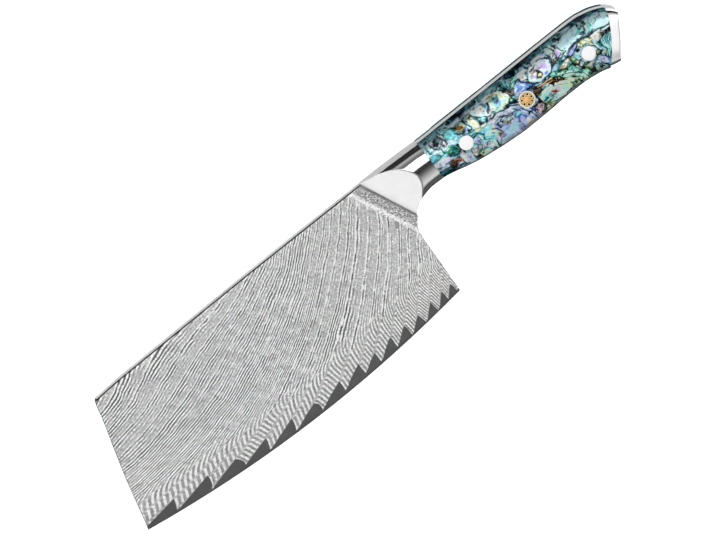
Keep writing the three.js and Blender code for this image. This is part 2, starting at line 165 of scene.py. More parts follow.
def slab(X, Y, ZT, ZB):
    """Closed solid between two height fields over the same (u, v) grid: u along +X, v from spine to edge."""
    nu, nv = X.shape
    verts = np.concatenate([np.stack([X, Y, ZT], -1).reshape(-1, 3), np.stack([X, Y, ZB], -1).reshape(-1, 3)])
    top = np.arange(nu * nv).reshape(nu, nv)
    bot = top + nu * nv
    faces = []

    def quads(a, b, c, d):
        faces.extend(np.stack([a.ravel(), b.ravel(), c.ravel(), d.ravel()], -1).tolist())
    quads(top[:-1, :-1], top[:-1, 1:], top[1:, 1:], top[1:, :-1])
    quads(bot[:-1, :-1], bot[1:, :-1], bot[1:, 1:], bot[:-1, 1:])
    quads(top[:-1, 0], top[1:, 0], bot[1:, 0], bot[:-1, 0])
    quads(top[1:, -1], top[:-1, -1], bot[:-1, -1], bot[1:, -1])
    quads(top[0, 1:], top[0, :-1], bot[0, :-1], bot[0, 1:])
    quads(top[-1, :-1], top[-1, 1:], bot[-1, 1:], bot[-1, :-1])
    return verts, faces


def scale_solid(X, Y, Z, inner):
    """Closed solid with a fine outer face over the grid and a plain flat back."""
    nu, nv = X.shape
    top = np.arange(nu * nv).reshape(nu, nv)
    faces = np.stack([top[:-1, :-1].ravel(), top[:-1, 1:].ravel(), top[1:, 1:].ravel(), top[1:, :-1].ravel()], -1).tolist()
    rim = np.concatenate([top[:, 0], top[-1, 1:], top[-2::-1, -1], top[0, -2:0:-1]])      # spine side, rear, lower side, front
    verts = np.concatenate([np.stack([X, Y, Z], -1).reshape(-1, 3), np.stack([X.ravel()[rim], Y.ravel()[rim], np.full(len(rim), inner)], -1)])
    low = nu * nv + np.arange(len(rim))
    nxt = np.roll(np.arange(len(rim)), -1)
    faces += np.stack([rim, rim[nxt], low[nxt], low], -1).tolist()
    place = {int(v): int(w) for v, w in zip(rim, low)}
    up, down = [place[int(v)] for v in top[:, 0]], [place[int(v)] for v in top[:, -1]]
    front, rear = [place[int(v)] for v in top[0, 1:-1]], [place[int(v)] for v in top[-1, 1:-1]]
    for i in range(nu - 1):
        faces.append([up[i], up[i + 1]] + (rear if i == nu - 2 else []) + [down[i + 1], down[i]] + (front[::-1] if i == 0 else []))
    return verts, faces


def top_wall(shape):
    """Material index 1 on a slab's narrow walls along the spine side, the edge side and the rear end, 0 elsewhere."""
    nu, nv = shape
    mats = np.zeros(2 * (nu - 1) * (nv - 1) + 2 * (nu - 1) + 2 * (nv - 1), dtype=np.int32)
    first = 2 * (nu - 1) * (nv - 1)
    mats[first:first + 2 * (nu - 1)] = 1
    mats[-(nv - 1):] = 1
    return mats


def handle_grid(x_front, x_rear, u, n, even=0.0):
    """Grid over part of the handle's side between two curves x(y), and the handle's half-thickness on it. even: 0 crowds the rows at the edges, 1 spaces them evenly."""
    s = np.arange(n + 1) / n
    t = np.cos(np.pi * s * (1 - even) + np.arccos(1 - 2 * s) * even)
    u = np.asarray(u)[:, None]
    y = np.full((len(u), n + 1), -10.0)
    for _ in range(14):
        x = x_front(y) * (1 - u) + x_rear(y) * u
        y = (TOP_F(x) + LOW_F(x)) / 2 + (TOP_F(x) - LOW_F(x)) / 2 * t
    x = x_front(y) * (1 - u) + x_rear(y) * u
    flat = np.where(t > 0, FLAT_T(x), FLAT_L(x))
    full = np.where(t > 0, FULL_U(x), FULL_L(x))
    wide, tall = HALF_F(x) - flat, (TOP_F(x) - LOW_F(x)) / 2
    # the bolster's lower flank runs straight once it leans over far enough; the grip's stays round
    lean = np.where(t < 0, 0.53 + 7.0 * np.clip((x - SCALE_FRONT_X) / 12.0, 0, 1) ** 2, 60.0)
    lo, hi = np.zeros_like(x), np.full_like(x, 0.99999)
    for _ in range(40):
        mid = (lo + hi) / 2
        steep = wide / tall * full * mid ** (full - 1) / (2 * np.sqrt(1 - mid ** full)) > lean
        lo, hi = np.where(steep, lo, mid), np.where(steep, mid, hi)
    a = np.minimum(np.abs(t), lo)
    z = flat + wide * np.sqrt(np.maximum(0.0, 1 - a ** full)) - np.where(t < 0, lean, 0.0) * tall * (np.abs(t) - a)
    # chamfer of the bolster's upper edge, running out along the grip
    return x, y, softmin(z, flat + 0.02 + (1.22 + 6.0 * np.clip((x - SCALE_FRONT_X) / 14.0, 0, 1) ** 2) * (TOP_F(x) - y), 0.12)


def lathe(profile, n, at):
    """Turned solid on an axis along Z. A profile that starts and ends on the axis is closed there; otherwise it is a ring."""
    verts, faces, rows = [], [], []
    for r, z in profile:
        if r < 1e-9:
            rows.append([len(verts)])
            verts.append((at[0], at[1], z))
        else:
            rows.append(list(range(len(verts), len(verts) + n)))
            verts += [(at[0] + r * math.cos(2 * math.pi * i / n), at[1] + r * math.sin(2 * math.pi * i / n), z) for i in range(n)]
    pairs = list(zip(rows[:-1], rows[1:]))
    if profile[0][0] > 1e-9:
        pairs.append((rows[-1], rows[0]))
    for a, b in pairs:
        for i in range(n):
            j = (i + 1) % n
            if len(a) == 1:
                faces.append((a[0], b[j], b[i]))
            elif len(b) == 1:
                faces.append((a[i], a[j], b[0]))
            else:
                faces.append((a[i], a[j], b[j], b[i]))
    return verts, faces


def cut_away(ob, cutters, sharp=30.0):
    """Subtracts closed cutter solids (verts, faces in mm) from a piece, as finished mesh."""
    verts, faces = [], []
    for v, f in cutters:
        base = len(verts)
        verts += [tuple(c) for c in v]
        faces += [tuple(i + base for i in q) for q in f]
    me = bpy.data.meshes.new("cutter")
    me.from_pydata([tuple(float(c) * 0.001 for c in v) for v in verts], [], faces)
    cutter = bpy.data.objects.new("cutter", me)
    bpy.context.scene.collection.objects.link(cutter)
    cutter.matrix_world = ob.matrix_world
    mod = ob.modifiers.new("holes", "BOOLEAN")
    mod.operation, mod.solver, mod.object = "DIFFERENCE", "EXACT", cutter
    bpy.context.view_layer.update()
    done = bpy.data.meshes.new_from_object(ob.evaluated_get(bpy.context.evaluated_depsgraph_get()))
    ob.modifiers.clear()
    old, ob.data = ob.data, done
    done.name = ob.name
    bpy.data.meshes.remove(old)
    bpy.data.objects.remove(cutter)
    bpy.data.meshes.remove(me)
    ob.data.polygons.foreach_set("use_smooth", np.ones(len(ob.data.polygons), dtype=bool))
    ob.data.set_sharp_from_angle(angle=math.radians(sharp))
    ob.data.update()


# ------------------------------------------------------------------ materials
def srgb(r, g, b):
    def lin(c):
        c /= 255.0
        return c / 12.92 if c <= 0.04045 else ((c + 0.055) / 1.055) ** 2.4
    return (lin(r), lin(g), lin(b), 1.0)


def grey(v):
    return srgb(v, v, v)


class Mat:
    """A material being wired up, node by node."""

    def __init__(self, name):
        self.mat = bpy.data.materials.new(name)
        self.mat.use_nodes = True
        self.t = self.mat.node_tree
        self.t.nodes.clear()

    def put(self, socket, value):
        if isinstance(value, bpy.types.NodeSocket):
            self.t.links.new(value, socket)
        elif value is not None:
            socket.default_value = value

    def add(self, kind, inputs=None, **props):
        n = self.t.nodes.new(kind)
        for k, v in props.items():
            setattr(n, k, v)
        for k, v in (inputs or {}).items():
            self.put(n.inputs[k], v)
        return n

    def math(self, op, a, b=None, c=None, clamp=False):
        n = self.add("ShaderNodeMath", operation=op, use_clamp=clamp)
        for i, v in enumerate((a, b, c)):
            self.put(n.inputs[i], v)
        return n.outputs[0]

    def vec(self, op, a, b=None, s=None):
        n = self.add("ShaderNodeVectorMath", operation=op)
        self.put(n.inputs[0], a)
        if b is not None:
            self.put(n.inputs[1], b)
        if s is not None:
            self.put(n.inputs["Scale"], s)
        return n.outputs["Value"] if op in ("LENGTH", "DOT_PRODUCT", "DISTANCE") else n.outputs["Vector"]

    def split(self, v):
        return self.add("ShaderNodeSeparateXYZ", {0: v}).outputs

    def join(self, x, y, z=0.0):
        return self.add("ShaderNodeCombineXYZ", {0: x, 1: y, 2: z}).outputs[0]

    def noise(self, vec, scale, detail=2.0, rough=0.5, colour=False, distort=0.0):
        n = self.add("ShaderNodeTexNoise", {"Vector": vec, "Scale": scale, "Detail": detail, "Roughness": rough, "Distortion": distort})
        return n.outputs["Color"] if colour else n.outputs["Fac"]

    def noise1(self, w, scale, detail=2.0, rough=0.5):
        n = self.add("ShaderNodeTexNoise", {"Scale": scale, "Detail": detail, "Roughness": rough}, noise_dimensions="1D")
        self.put(n.inputs["W"], w)
        return n.outputs["Fac"]

    def white1(self, w):
        n = self.add("ShaderNodeTexWhiteNoise", noise_dimensions="1D")
        self.put(n.inputs["W"], w)
        return n.outputs["Value"]

    def mix(self, fac, a, b, mode="MIX"):
        n = self.add("ShaderNodeMix", data_type="RGBA", blend_type=mode)
        self.put(n.inputs[0], fac)
        self.put(n.inputs[6], a)
        self.put(n.inputs[7], b)
        return n.outputs[2]

    def mixf(self, fac, a, b):
        n = self.add("ShaderNodeMix", data_type="FLOAT")
        self.put(n.inputs[0], fac)
        self.put(n.inputs[2], a)
        self.put(n.inputs[3], b)
        return n.outputs[0]

    def ramp(self, fac, stops, interp="LINEAR"):
        n = self.add("ShaderNodeValToRGB", {0: fac})
        r = n.color_ramp
        r.interpolation = interp
        while len(r.elements) > 1:
            r.elements.remove(r.elements[-1])
        r.elements[0].position, r.elements[0].color = stops[0]
        for pos, col in stops[1:]:
            e = r.elements.new(pos)
            e.color = col
        return n.outputs["Color"], n.outputs["Alpha"]

    def step(self, x, lo, hi, a=0.0, b=1.0):
        n = self.add("ShaderNodeMapRange", {0: x, 1: lo, 2: hi, 3: a, 4: b}, interpolation_type="SMOOTHSTEP", clamp=True)
        return n.outputs[0]

    def band(self, x, centre, half, soft):
        """1 inside a band round centre, 0 outside."""
        d = self.math("ABSOLUTE", self.math("SUBTRACT", x, centre))
        return self.step(d, half - soft, half + soft, 1.0, 0.0)

    def curve(self, x, x0, x1, y0, y1, points):
        """Piecewise linear y(x) through the points."""
        n = self.add("ShaderNodeFloatCurve")
        c = n.mapping.curves[0]
        pts = [((px - x0) / (x1 - x0), (py - y0) / (y1 - y0)) for px, py in points]
        c.points[0].location = pts[0]
        c.points[1].location = pts[-1]
        for p in pts[1:-1]:
            c.points.new(*p)
        for p in c.points:
            p.handle_type = "VECTOR"
        n.mapping.use_clip = False
        n.mapping.update()
        self.put(n.inputs["Value"], self.math("DIVIDE", self.math("SUBTRACT", x, x0), x1 - x0))
        return self.math("ADD", self.math("MULTIPLY", n.outputs[0], y1 - y0), y0)

    def knife_mm(self, cad=False):
        """Knife-frame coordinates in mm, for a new piece or for a CAD node."""
        p = self.add("ShaderNodeTexCoord").outputs["Object"]
        if cad:
            loc, rot, _ = REST.decompose()
            p = self.add("ShaderNodeMapping", {"Vector": p, "Location": loc, "Rotation": rot.to_euler()}, vector_type="TEXTURE").outputs[0]
        return self.vec("SCALE", p, s=1000.0)

    def bump(self, height, strength, distance):
        return self.add("ShaderNodeBump", {"Height": height, "Strength": strength, "Distance": distance}).outputs[0]

    def finish(self, colour, rough, metal=0.0, normal=None, coat=0.0, coat_rough=0.03, spec=0.5, ior=1.5):
        b = self.add("ShaderNodeBsdfPrincipled")
        self.put(b.inputs["Base Color"], colour)
        self.put(b.inputs["Roughness"], rough)
        self.put(b.inputs["Metallic"], metal)
        b.inputs["IOR"].default_value = ior
        b.inputs["Specular IOR Level"].default_value = spec
        b.inputs["Coat Weight"].default_value = coat
        b.inputs["Coat Roughness"].default_value = coat_rough
        if normal is not None:
            self.put(b.inputs["Normal"], normal)
        out = self.add("ShaderNodeOutputMaterial")
        self.t.links.new(b.outputs[0], out.inputs[0])
        return self.mat


# Teeth of the core line as flow coordinates: xi = 110 exp(x / 88) - height above the edge; each tooth is one column
COLUMN_XI = [12.4, 16.9, 21.2, 27.2, 33.4, 39.5, 48.2, 56.1, 63.0, 71.4, 79.1, 87.1, 96.1, 104.9, 111.7]
# Spacing of the layers where they come down to the edge: x, mm
LAYER_GAP = [(-300, 3.2), (-140, 2.85), (-110, 2.4), (-80, 2.25), (-55, 1.95), (-38, 1.75), (-27, 1.4), (-14, 1.2), (-4, 1.0), (30, 0.9)]
LAYER_X = np.linspace(-300.0, 30.0, 331)
LAYER_N = np.concatenate([[0.0], np.cumsum(1.0 / np.interp(LAYER_X[:-1] + 0.5, [p[0] for p in LAYER_GAP], [p[1] for p in LAYER_GAP]))])


def tooth_flanks():
    """For each tooth, x of its steep flank 4 mm above the edge, and the flank's lean dx/dy."""
    pts = [(x, y - edge_y(x)) for x, y in CORE_LINE]
    out = []
    for i in range(1, len(pts) - 1):
        if pts[i][1] > pts[i - 1][1] and pts[i][1] >= pts[i + 1][1]:
            j = i + 1
            while j + 1 < len(pts) and pts[j + 1][1] < pts[j][1]:
                j += 1
            if pts[i][1] - pts[j][1] > 1.5:
                lean = (pts[i][0] - pts[j][0]) / (pts[i][1] - pts[j][1])
                out.append((pts[j][0] + lean * (4.0 - pts[j][1]), lean))
    return out


def damascus(name):
    m = Mat(name)
    p0 = m.knife_mm()
    x0, y0, _ = m.split(p0)
    xe0 = m.math("ADD", x0, -EDGE_LOW_X)
    d0 = m.math("SUBTRACT", y0, m.math("MULTIPLY_ADD", m.math("MULTIPLY", xe0, xe0), EDGE_CURVE, EDGE_LOW_Y))
    # Wander of the layers: slow all over, wavy towards the spine
    warp = m.vec("SUBTRACT", m.noise(p0, 0.055, 2, 0.5, True), (0.5, 0.5, 0.5))
    warp2 = m.vec("SUBTRACT", m.noise(p0, 0.24, 1, 0.5, True), (0.5, 0.5, 0.5))
    calm = m.step(d0, 12.0, 22.0)
    p = m.vec("ADD", p0, m.vec("ADD", m.vec("SCALE", warp, s=m.math("MULTIPLY", calm, 2.6)),
                               m.vec("SCALE", warp2, s=m.math("ADD", m.math("MULTIPLY", calm, 0.38), m.step(d0, 46.0, 66.0, 0.2, 0.6)))))
    x, y, _ = m.split(p)
    xe = m.math("ADD", x, -EDGE_LOW_X)
    d = m.math("SUBTRACT", y, m.math("MULTIPLY_ADD", m.math("MULTIPLY", xe, xe), EDGE_CURVE, EDGE_LOW_Y))
    grow = m.math("EXPONENT", m.math("DIVIDE", x, 88.0))
    # towards the square tip the layers turn up where they meet the spine
    tip = m.step(x, -132.0, -50.0, 1.0, 0.0)
    turn = m.math("MULTIPLY", m.math("MULTIPLY", tip, 0.0075), m.math("POWER", m.math("MAXIMUM", m.math("ADD", d, -26.0), 0.0), 2.0))
    xi = m.math("ADD", m.math("SUBTRACT", m.math("MULTIPLY", grow, 110.0), d), turn)
    pts = [(-80.0, -20.5)] + [(12.4 - 4.5 * k, -1.0 * k) for k in range(19, 0, -1)] + [(v, float(i)) for i, v in enumerate(COLUMN_XI)] + [(128.0, 16.6)]
    phi = m.curve(xi, -80.0, 128.0, -20.5, 16.6, pts)
    col = m.math("FLOOR", phi)
    t = m.math("FRACT", phi)
    rnd = m.white1(col)
    # Ladder of layers above each tooth: upright at first, leaning over into the columns further up
    flanks = tooth_flanks()
    flanks = [(flanks[0][0] - 17.0, 0.45)] + flanks + [(flanks[-1][0] + 5.0, -0.1), (flanks[-1][0] + 10.0, -0.1)]
    tops = float(LAYER_N[-1])
    colc = m.math("MINIMUM", m.math("MAXIMUM", col, -1.0), 16.0)
    start = m.curve(colc, -1.0, 16.0, 0.0, tops, [(float(i - 1), float(np.interp(f[0], LAYER_X, LAYER_N))) for i, f in enumerate(flanks)])
    lean = m.curve(colc, -1.0, 16.0, -1.0, 1.0, [(float(i - 1), f[1]) for i, f in enumerate(flanks)])
    g = m.add("ShaderNodeMapRange", {0: d, 1: 10.5, 2: 24.0, 3: 0.0, 4: 1.0}, clamp=True).outputs[0]
    g3 = m.math("MULTIPLY", m.math("MULTIPLY", g, g), g)
    over = m.math("ADD", m.math("MULTIPLY", m.math("MULTIPLY", g3, m.math("MULTIPLY_ADD", g, -0.5, 1.0)), 13.5), m.math("MAXIMUM", m.math("ADD", d, -24.0), 0.0))
    hook = m.math("MAXIMUM", m.math("MULTIPLY_ADD", t, -1.0 / 0.24, 1.0), 0.0)
    u = m.math("SUBTRACT", x, m.math("MULTIPLY", lean, m.math("ADD", d, -4.0)))
    u = m.math("SUBTRACT", u, m.math("MULTIPLY", m.math("DIVIDE", 0.8, grow), over))
    u = m.math("ADD", u, m.math("MULTIPLY", m.math("MULTIPLY", hook, hook), 1.2))
    u = m.math("MAXIMUM", u, -300.0)
    count = m.curve(u, -300.0, 30.0, 0.0, tops, [(float(LAYER_X[i]), float(LAYER_N[i])) for i in range(0, 331, 15)])
    lay = m.math("SUBTRACT", count, start)
    lf = m.math("FRACT", lay)
    each = m.white1(m.math("ADD", m.math("FLOOR", lay), m.math("MULTIPLY", col, 17.0)))
    bar = m.math("MULTIPLY", m.step(lf, 0.0, 0.15), m.step(lf, 0.44, 0.62, 1.0, 0.0))
    rung = m.math("MULTIPLY", m.step(t, 0.03, 0.14), m.step(t, 0.84, 0.99, 1.0, 0.0))
    ladder = m.math("MULTIPLY", m.step(d, 15.0, 34.0, 1.0, 0.10), m.math("MULTIPLY_ADD", each, 0.35, 0.65))
    # Lines that run up each column from its border, white first, fading across it
    length = m.math("ADD", m.math("MULTIPLY", x, 0.022), m.math("MULTIPLY", d, 0.022))
    along = m.noise(m.join(m.math("MULTIPLY", phi, 0.7), length, 0.0), 1.0, 2, 0.5)
    waves = m.math("MULTIPLY_ADD", m.math("MULTIPLY", tip, m.step(d, 34.0, 60.0)), 3.2, m.step(d, 24.0, 60.0, 4.2, 3.1))
    heel = m.step(x, -52.0, -14.0)
    fade = m.math("ADD", m.math("MULTIPLY", rnd, 2.6), m.math("MULTIPLY", heel, 2.2))
    fall = m.math("EXPONENT", m.math("MULTIPLY", t, m.math("SUBTRACT", m.step(d, 18.0, 50.0, -1.0, -1.7), fade)))
    ripple = m.math("COSINE", m.math("MULTIPLY", m.math("SUBTRACT", m.math("MULTIPLY", t, waves), 0.16), 2 * math.pi))
    ripple = m.math("MULTIPLY", m.math("MULTIPLY", ripple, fall), m.math("MULTIPLY", m.step(d, 13.0, 26.0), m.step(along, 0.36, 0.58, 0.45, 1.6)))
    flick = m.noise(m.join(m.math("MULTIPLY", phi, 2.0), m.math("MULTIPLY", length, 5.5), 5.0), 1.0, 2, 0.5)
    ripple = m.math("MULTIPLY", ripple, m.step(flick, 0.38, 0.62, 0.34, 1.9))
    stroke = m.noise(m.join(m.math("MULTIPLY", col, 3.7), m.math("MULTIPLY", length, 9.0), 11.0), 1.0, 1, 0.5)
    # Colours
    tone = m.noise(m.join(m.math("MULTIPLY", phi, 1.3), length, 3.0), 1.0, 2, 0.5)
    colour = m.mix(tone, grey(180), grey(202))
    k = m.math("MULTIPLY", m.math("MULTIPLY", rung, ladder), m.math("SUBTRACT", 1.0, bar))
    colour = m.mix(k, colour, m.mix(heel, grey(152), grey(134)))
    k = m.math("MULTIPLY", m.math("MULTIPLY", rung, ladder), bar)
    colour = m.mix(k, colour, grey(255))
    colour = m.mix(m.math("MULTIPLY", m.math("MAXIMUM", ripple, 0.0), m.math("MULTIPLY", m.step(stroke, 0.38, 0.60, 0.30, 1.3), m.math("MULTIPLY_ADD", heel, -0.8, 4.4)), clamp=True), colour, grey(255))
    colour = m.mix(m.math("MULTIPLY", m.math("MAXIMUM", m.math("MULTIPLY", ripple, -1.0), 0.0), m.math("MULTIPLY_ADD", heel, -0.9, 3.0), clamp=True), colour, grey(88))
    # White strokes of uneven length along the column borders
    spear = m.math("MULTIPLY", m.band(t, 0.09, 0.085, 0.06), m.math("MULTIPLY", m.step(stroke, 0.50, 0.62), m.math("MULTIPLY", m.step(d, 15.0, 27.0), m.math("MULTIPLY_ADD", tip, -0.8, 1.0))))
    colour = m.mix(spear, colour, grey(255))
    # Bright and dark dashes where the columns end at the bolster
    q = m.math("ADD", m.math("MULTIPLY", m.math("SUBTRACT", x0, WELD_TOP[0]), NX), m.math("MULTIPLY", m.math("SUBTRACT", y0, WELD_TOP[1]), NY))
    dash = m.noise(m.join(m.math("MULTIPLY", phi, 1.7), m.math("MULTIPLY", q, 0.17), 8.0), 1.0, 1, 0.5)
    close = m.math("MULTIPLY", m.step(q, -20.0, -9.0), m.step(d, 24.0, 34.0))
    colour = m.mix(m.math("MULTIPLY", close, m.step(dash, 0.58, 0.70)), colour, grey(246))
    colour = m.mix(m.math("MULTIPLY", close, m.step(dash, 0.40, 0.30)), colour, grey(152))
    # Fine etched grain
    grain = m.noise(p0, 0.95, 2, 0.6)
    grain2 = m.noise(p0, 2.3, 2, 0.6)
    gr = m.math("ADD", m.math("MULTIPLY", m.math("SUBTRACT", grain, 0.5), 1.75), m.math("MULTIPLY_ADD", m.math("SUBTRACT", grain2, 0.5), 2.3, 1.09))
    # Finely spotted band beside the bolster, with a painted highlight: a light line where the pattern and the fillet
    # start
    plain = m.step(q, -5.35, -5.05)
    weld_s = m.math("ADD", m.math("MULTIPLY", m.math("SUBTRACT", x0, WELD_TOP[0]), WX), m.math("MULTIPLY", m.math("SUBTRACT", y0, WELD_TOP[1]), WY))
    spots = m.noise(m.join(m.math("MULTIPLY", weld_s, 0.9), m.math("MULTIPLY", q, 1.9), 0.0), 1.0, 3, 0.65)
    band, _ = m.ramp(spots, [(0.35, grey(84)), (0.44, grey(146)), (0.53, grey(184)), (0.61, grey(240))])
    colour = m.mix(plain, colour, band)
    # painted highlight: light line along the start of the fillet
    line = m.math("MULTIPLY", m.band(q, -5.6, 0.8, 0.45), m.step(grain, 0.32, 0.50, 0.35, 1.0))
    colour = m.mix(line, colour, grey(255))
    # painted shade: darker strip along the weld line to the bolster
    colour = m.mix(m.step(q, -0.75, -0.15), colour, grey(150))
    colour = m.mix(1.0, colour, m.add("ShaderNodeCombineColor", {0: gr, 1: gr, 2: gr}).outputs[0], "MULTIPLY")
    height = m.math("ADD", m.math("MULTIPLY", grain2, 0.5), m.math("ADD", m.math("MULTIPLY", k, 0.5), m.math("MULTIPLY", ripple, 0.4)))
    rough = m.step(grain, 0.3, 0.7, 0.46, 0.38)
    return m.finish(colour, rough, 0.75, m.bump(height, 0.15, 0.0002))


def core_steel(name):
    m = Mat(name)
    p = m.knife_mm(cad=True)
    a = m.noise(m.vec("MULTIPLY", p, (1.2, 4.0, 1.0)), 1.0, 4, 0.65)
    b = m.noise(p, 0.12, 2, 0.5)
    colour, _ = m.ramp(m.math("ADD", m.math("MULTIPLY", a, 0.6), m.math("MULTIPLY", b, 0.4)), [(0.3, grey(84)), (0.5, grey(96)), (0.7, grey(108))])
    # honed bevel at the very edge
    x, y, _ = m.split(p)
    xe = m.math("ADD", x, -EDGE_LOW_X)
    d = m.math("SUBTRACT", y, m.math("MULTIPLY_ADD", m.math("MULTIPLY", xe, xe), EDGE_CURVE, EDGE_LOW_Y))
    hone = m.step(m.math("ADD", d, m.math("MULTIPLY", m.noise(p, 0.5, 2), 0.2)), 0.30, 0.45, 1.0, 0.0)
    colour = m.mix(hone, colour, m.mix(a, grey(150), grey(190)))
    return m.finish(colour, m.math("MULTIPLY_ADD", a, 0.12, 0.36), 0.85, m.bump(a, 0.06, 0.0002))


def ground_steel(name, light, dark, rough, along=(0.25, 6.0, 6.0), scratch=0.10, cad=False, metal=1.0):
    """Ground or polished steel: fine lines along the knife, faint clouds."""
    m = Mat(name)
    p = m.knife_mm(cad)
    lines = m.noise(m.vec("MULTIPLY", p, along), 1.0, 4, 0.7)
    cloud = m.noise(p, 0.16, 3, 0.5)
    k = m.math("ADD", m.math("MULTIPLY", lines, 0.55), m.math("MULTIPLY", cloud, 0.45))
    colour, _ = m.ramp(k, [(0.32, grey(dark)), (0.5, grey((light + dark) / 2)), (0.68, grey(light))])
    r = m.math("MULTIPLY_ADD", m.math("SUBTRACT", lines, 0.5), scratch, rough)
    return m.finish(colour, r, metal, m.bump(lines, 0.04, 0.0001))


def turned_metal(name, light, dark, rough):
    """Metal pin ends: fine turning marks and slight tarnish."""
    m = Mat(name)
    p = m.knife_mm()
    marks = m.noise(m.vec("MULTIPLY", p, (3.0, 9.0, 3.0)), 1.0, 3, 0.6)
    cloud = m.noise(p, 0.9, 3, 0.6)
    colour = m.mix(m.step(m.math("ADD", m.math("MULTIPLY", marks, 0.5), m.math("MULTIPLY", cloud, 0.5)), 0.35, 0.65), dark, light)
    return m.finish(colour, m.math("MULTIPLY_ADD", marks, 0.12, rough), 1.0, m.bump(marks, 0.05, 0.0001))


def resin(name, base, light, rough, spec=0.5):
    m = Mat(name)
    p = m.knife_mm()
    n = m.noise(p, 1.6, 3, 0.6)
    return m.finish(m.mix(m.step(n, 0.4, 0.75), base, light), m.math("MULTIPLY_ADD", n, 0.2, rough), 0.0, m.bump(n, 0.05, 0.0002), spec=spec)


# ------------------------------------------------------------------ abalone figures of the scales
# Tones of polished abalone shell
NACRE = {
    "ink": (8, 16, 20), "navy": (18, 30, 70), "deep": (12, 50, 60), "teal": (58, 126, 132), "cyan": (98, 190, 206), "aqua": (122, 232, 232),
    "ice": (194, 240, 242), "white": (244, 249, 250), "sky": (154, 206, 238), "blue": (96, 144, 214), "azure": (40, 104, 216), "indigo": (60, 76, 156),
    "peri": (146, 158, 214), "lav": (198, 202, 224), "lilac": (216, 204, 226), "violet": (180, 158, 226), "pink": (236, 196, 206), "mint": (178, 232, 208),
    "spring": (132, 228, 188), "green": (74, 138, 100), "moss": (28, 58, 40), "lime": (200, 214, 152), "olive": (138, 138, 98), "cream": (234, 228, 208),
    "sand": (206, 176, 136), "brown": (104, 70, 46), "umber": (34, 18, 12), "rust": (170, 98, 62), "red": (166, 44, 60), "steel": (160, 194, 206),
    "smoke": (118, 132, 150), "plum": (52, 30, 58), "pearl": (222, 222, 234),
}
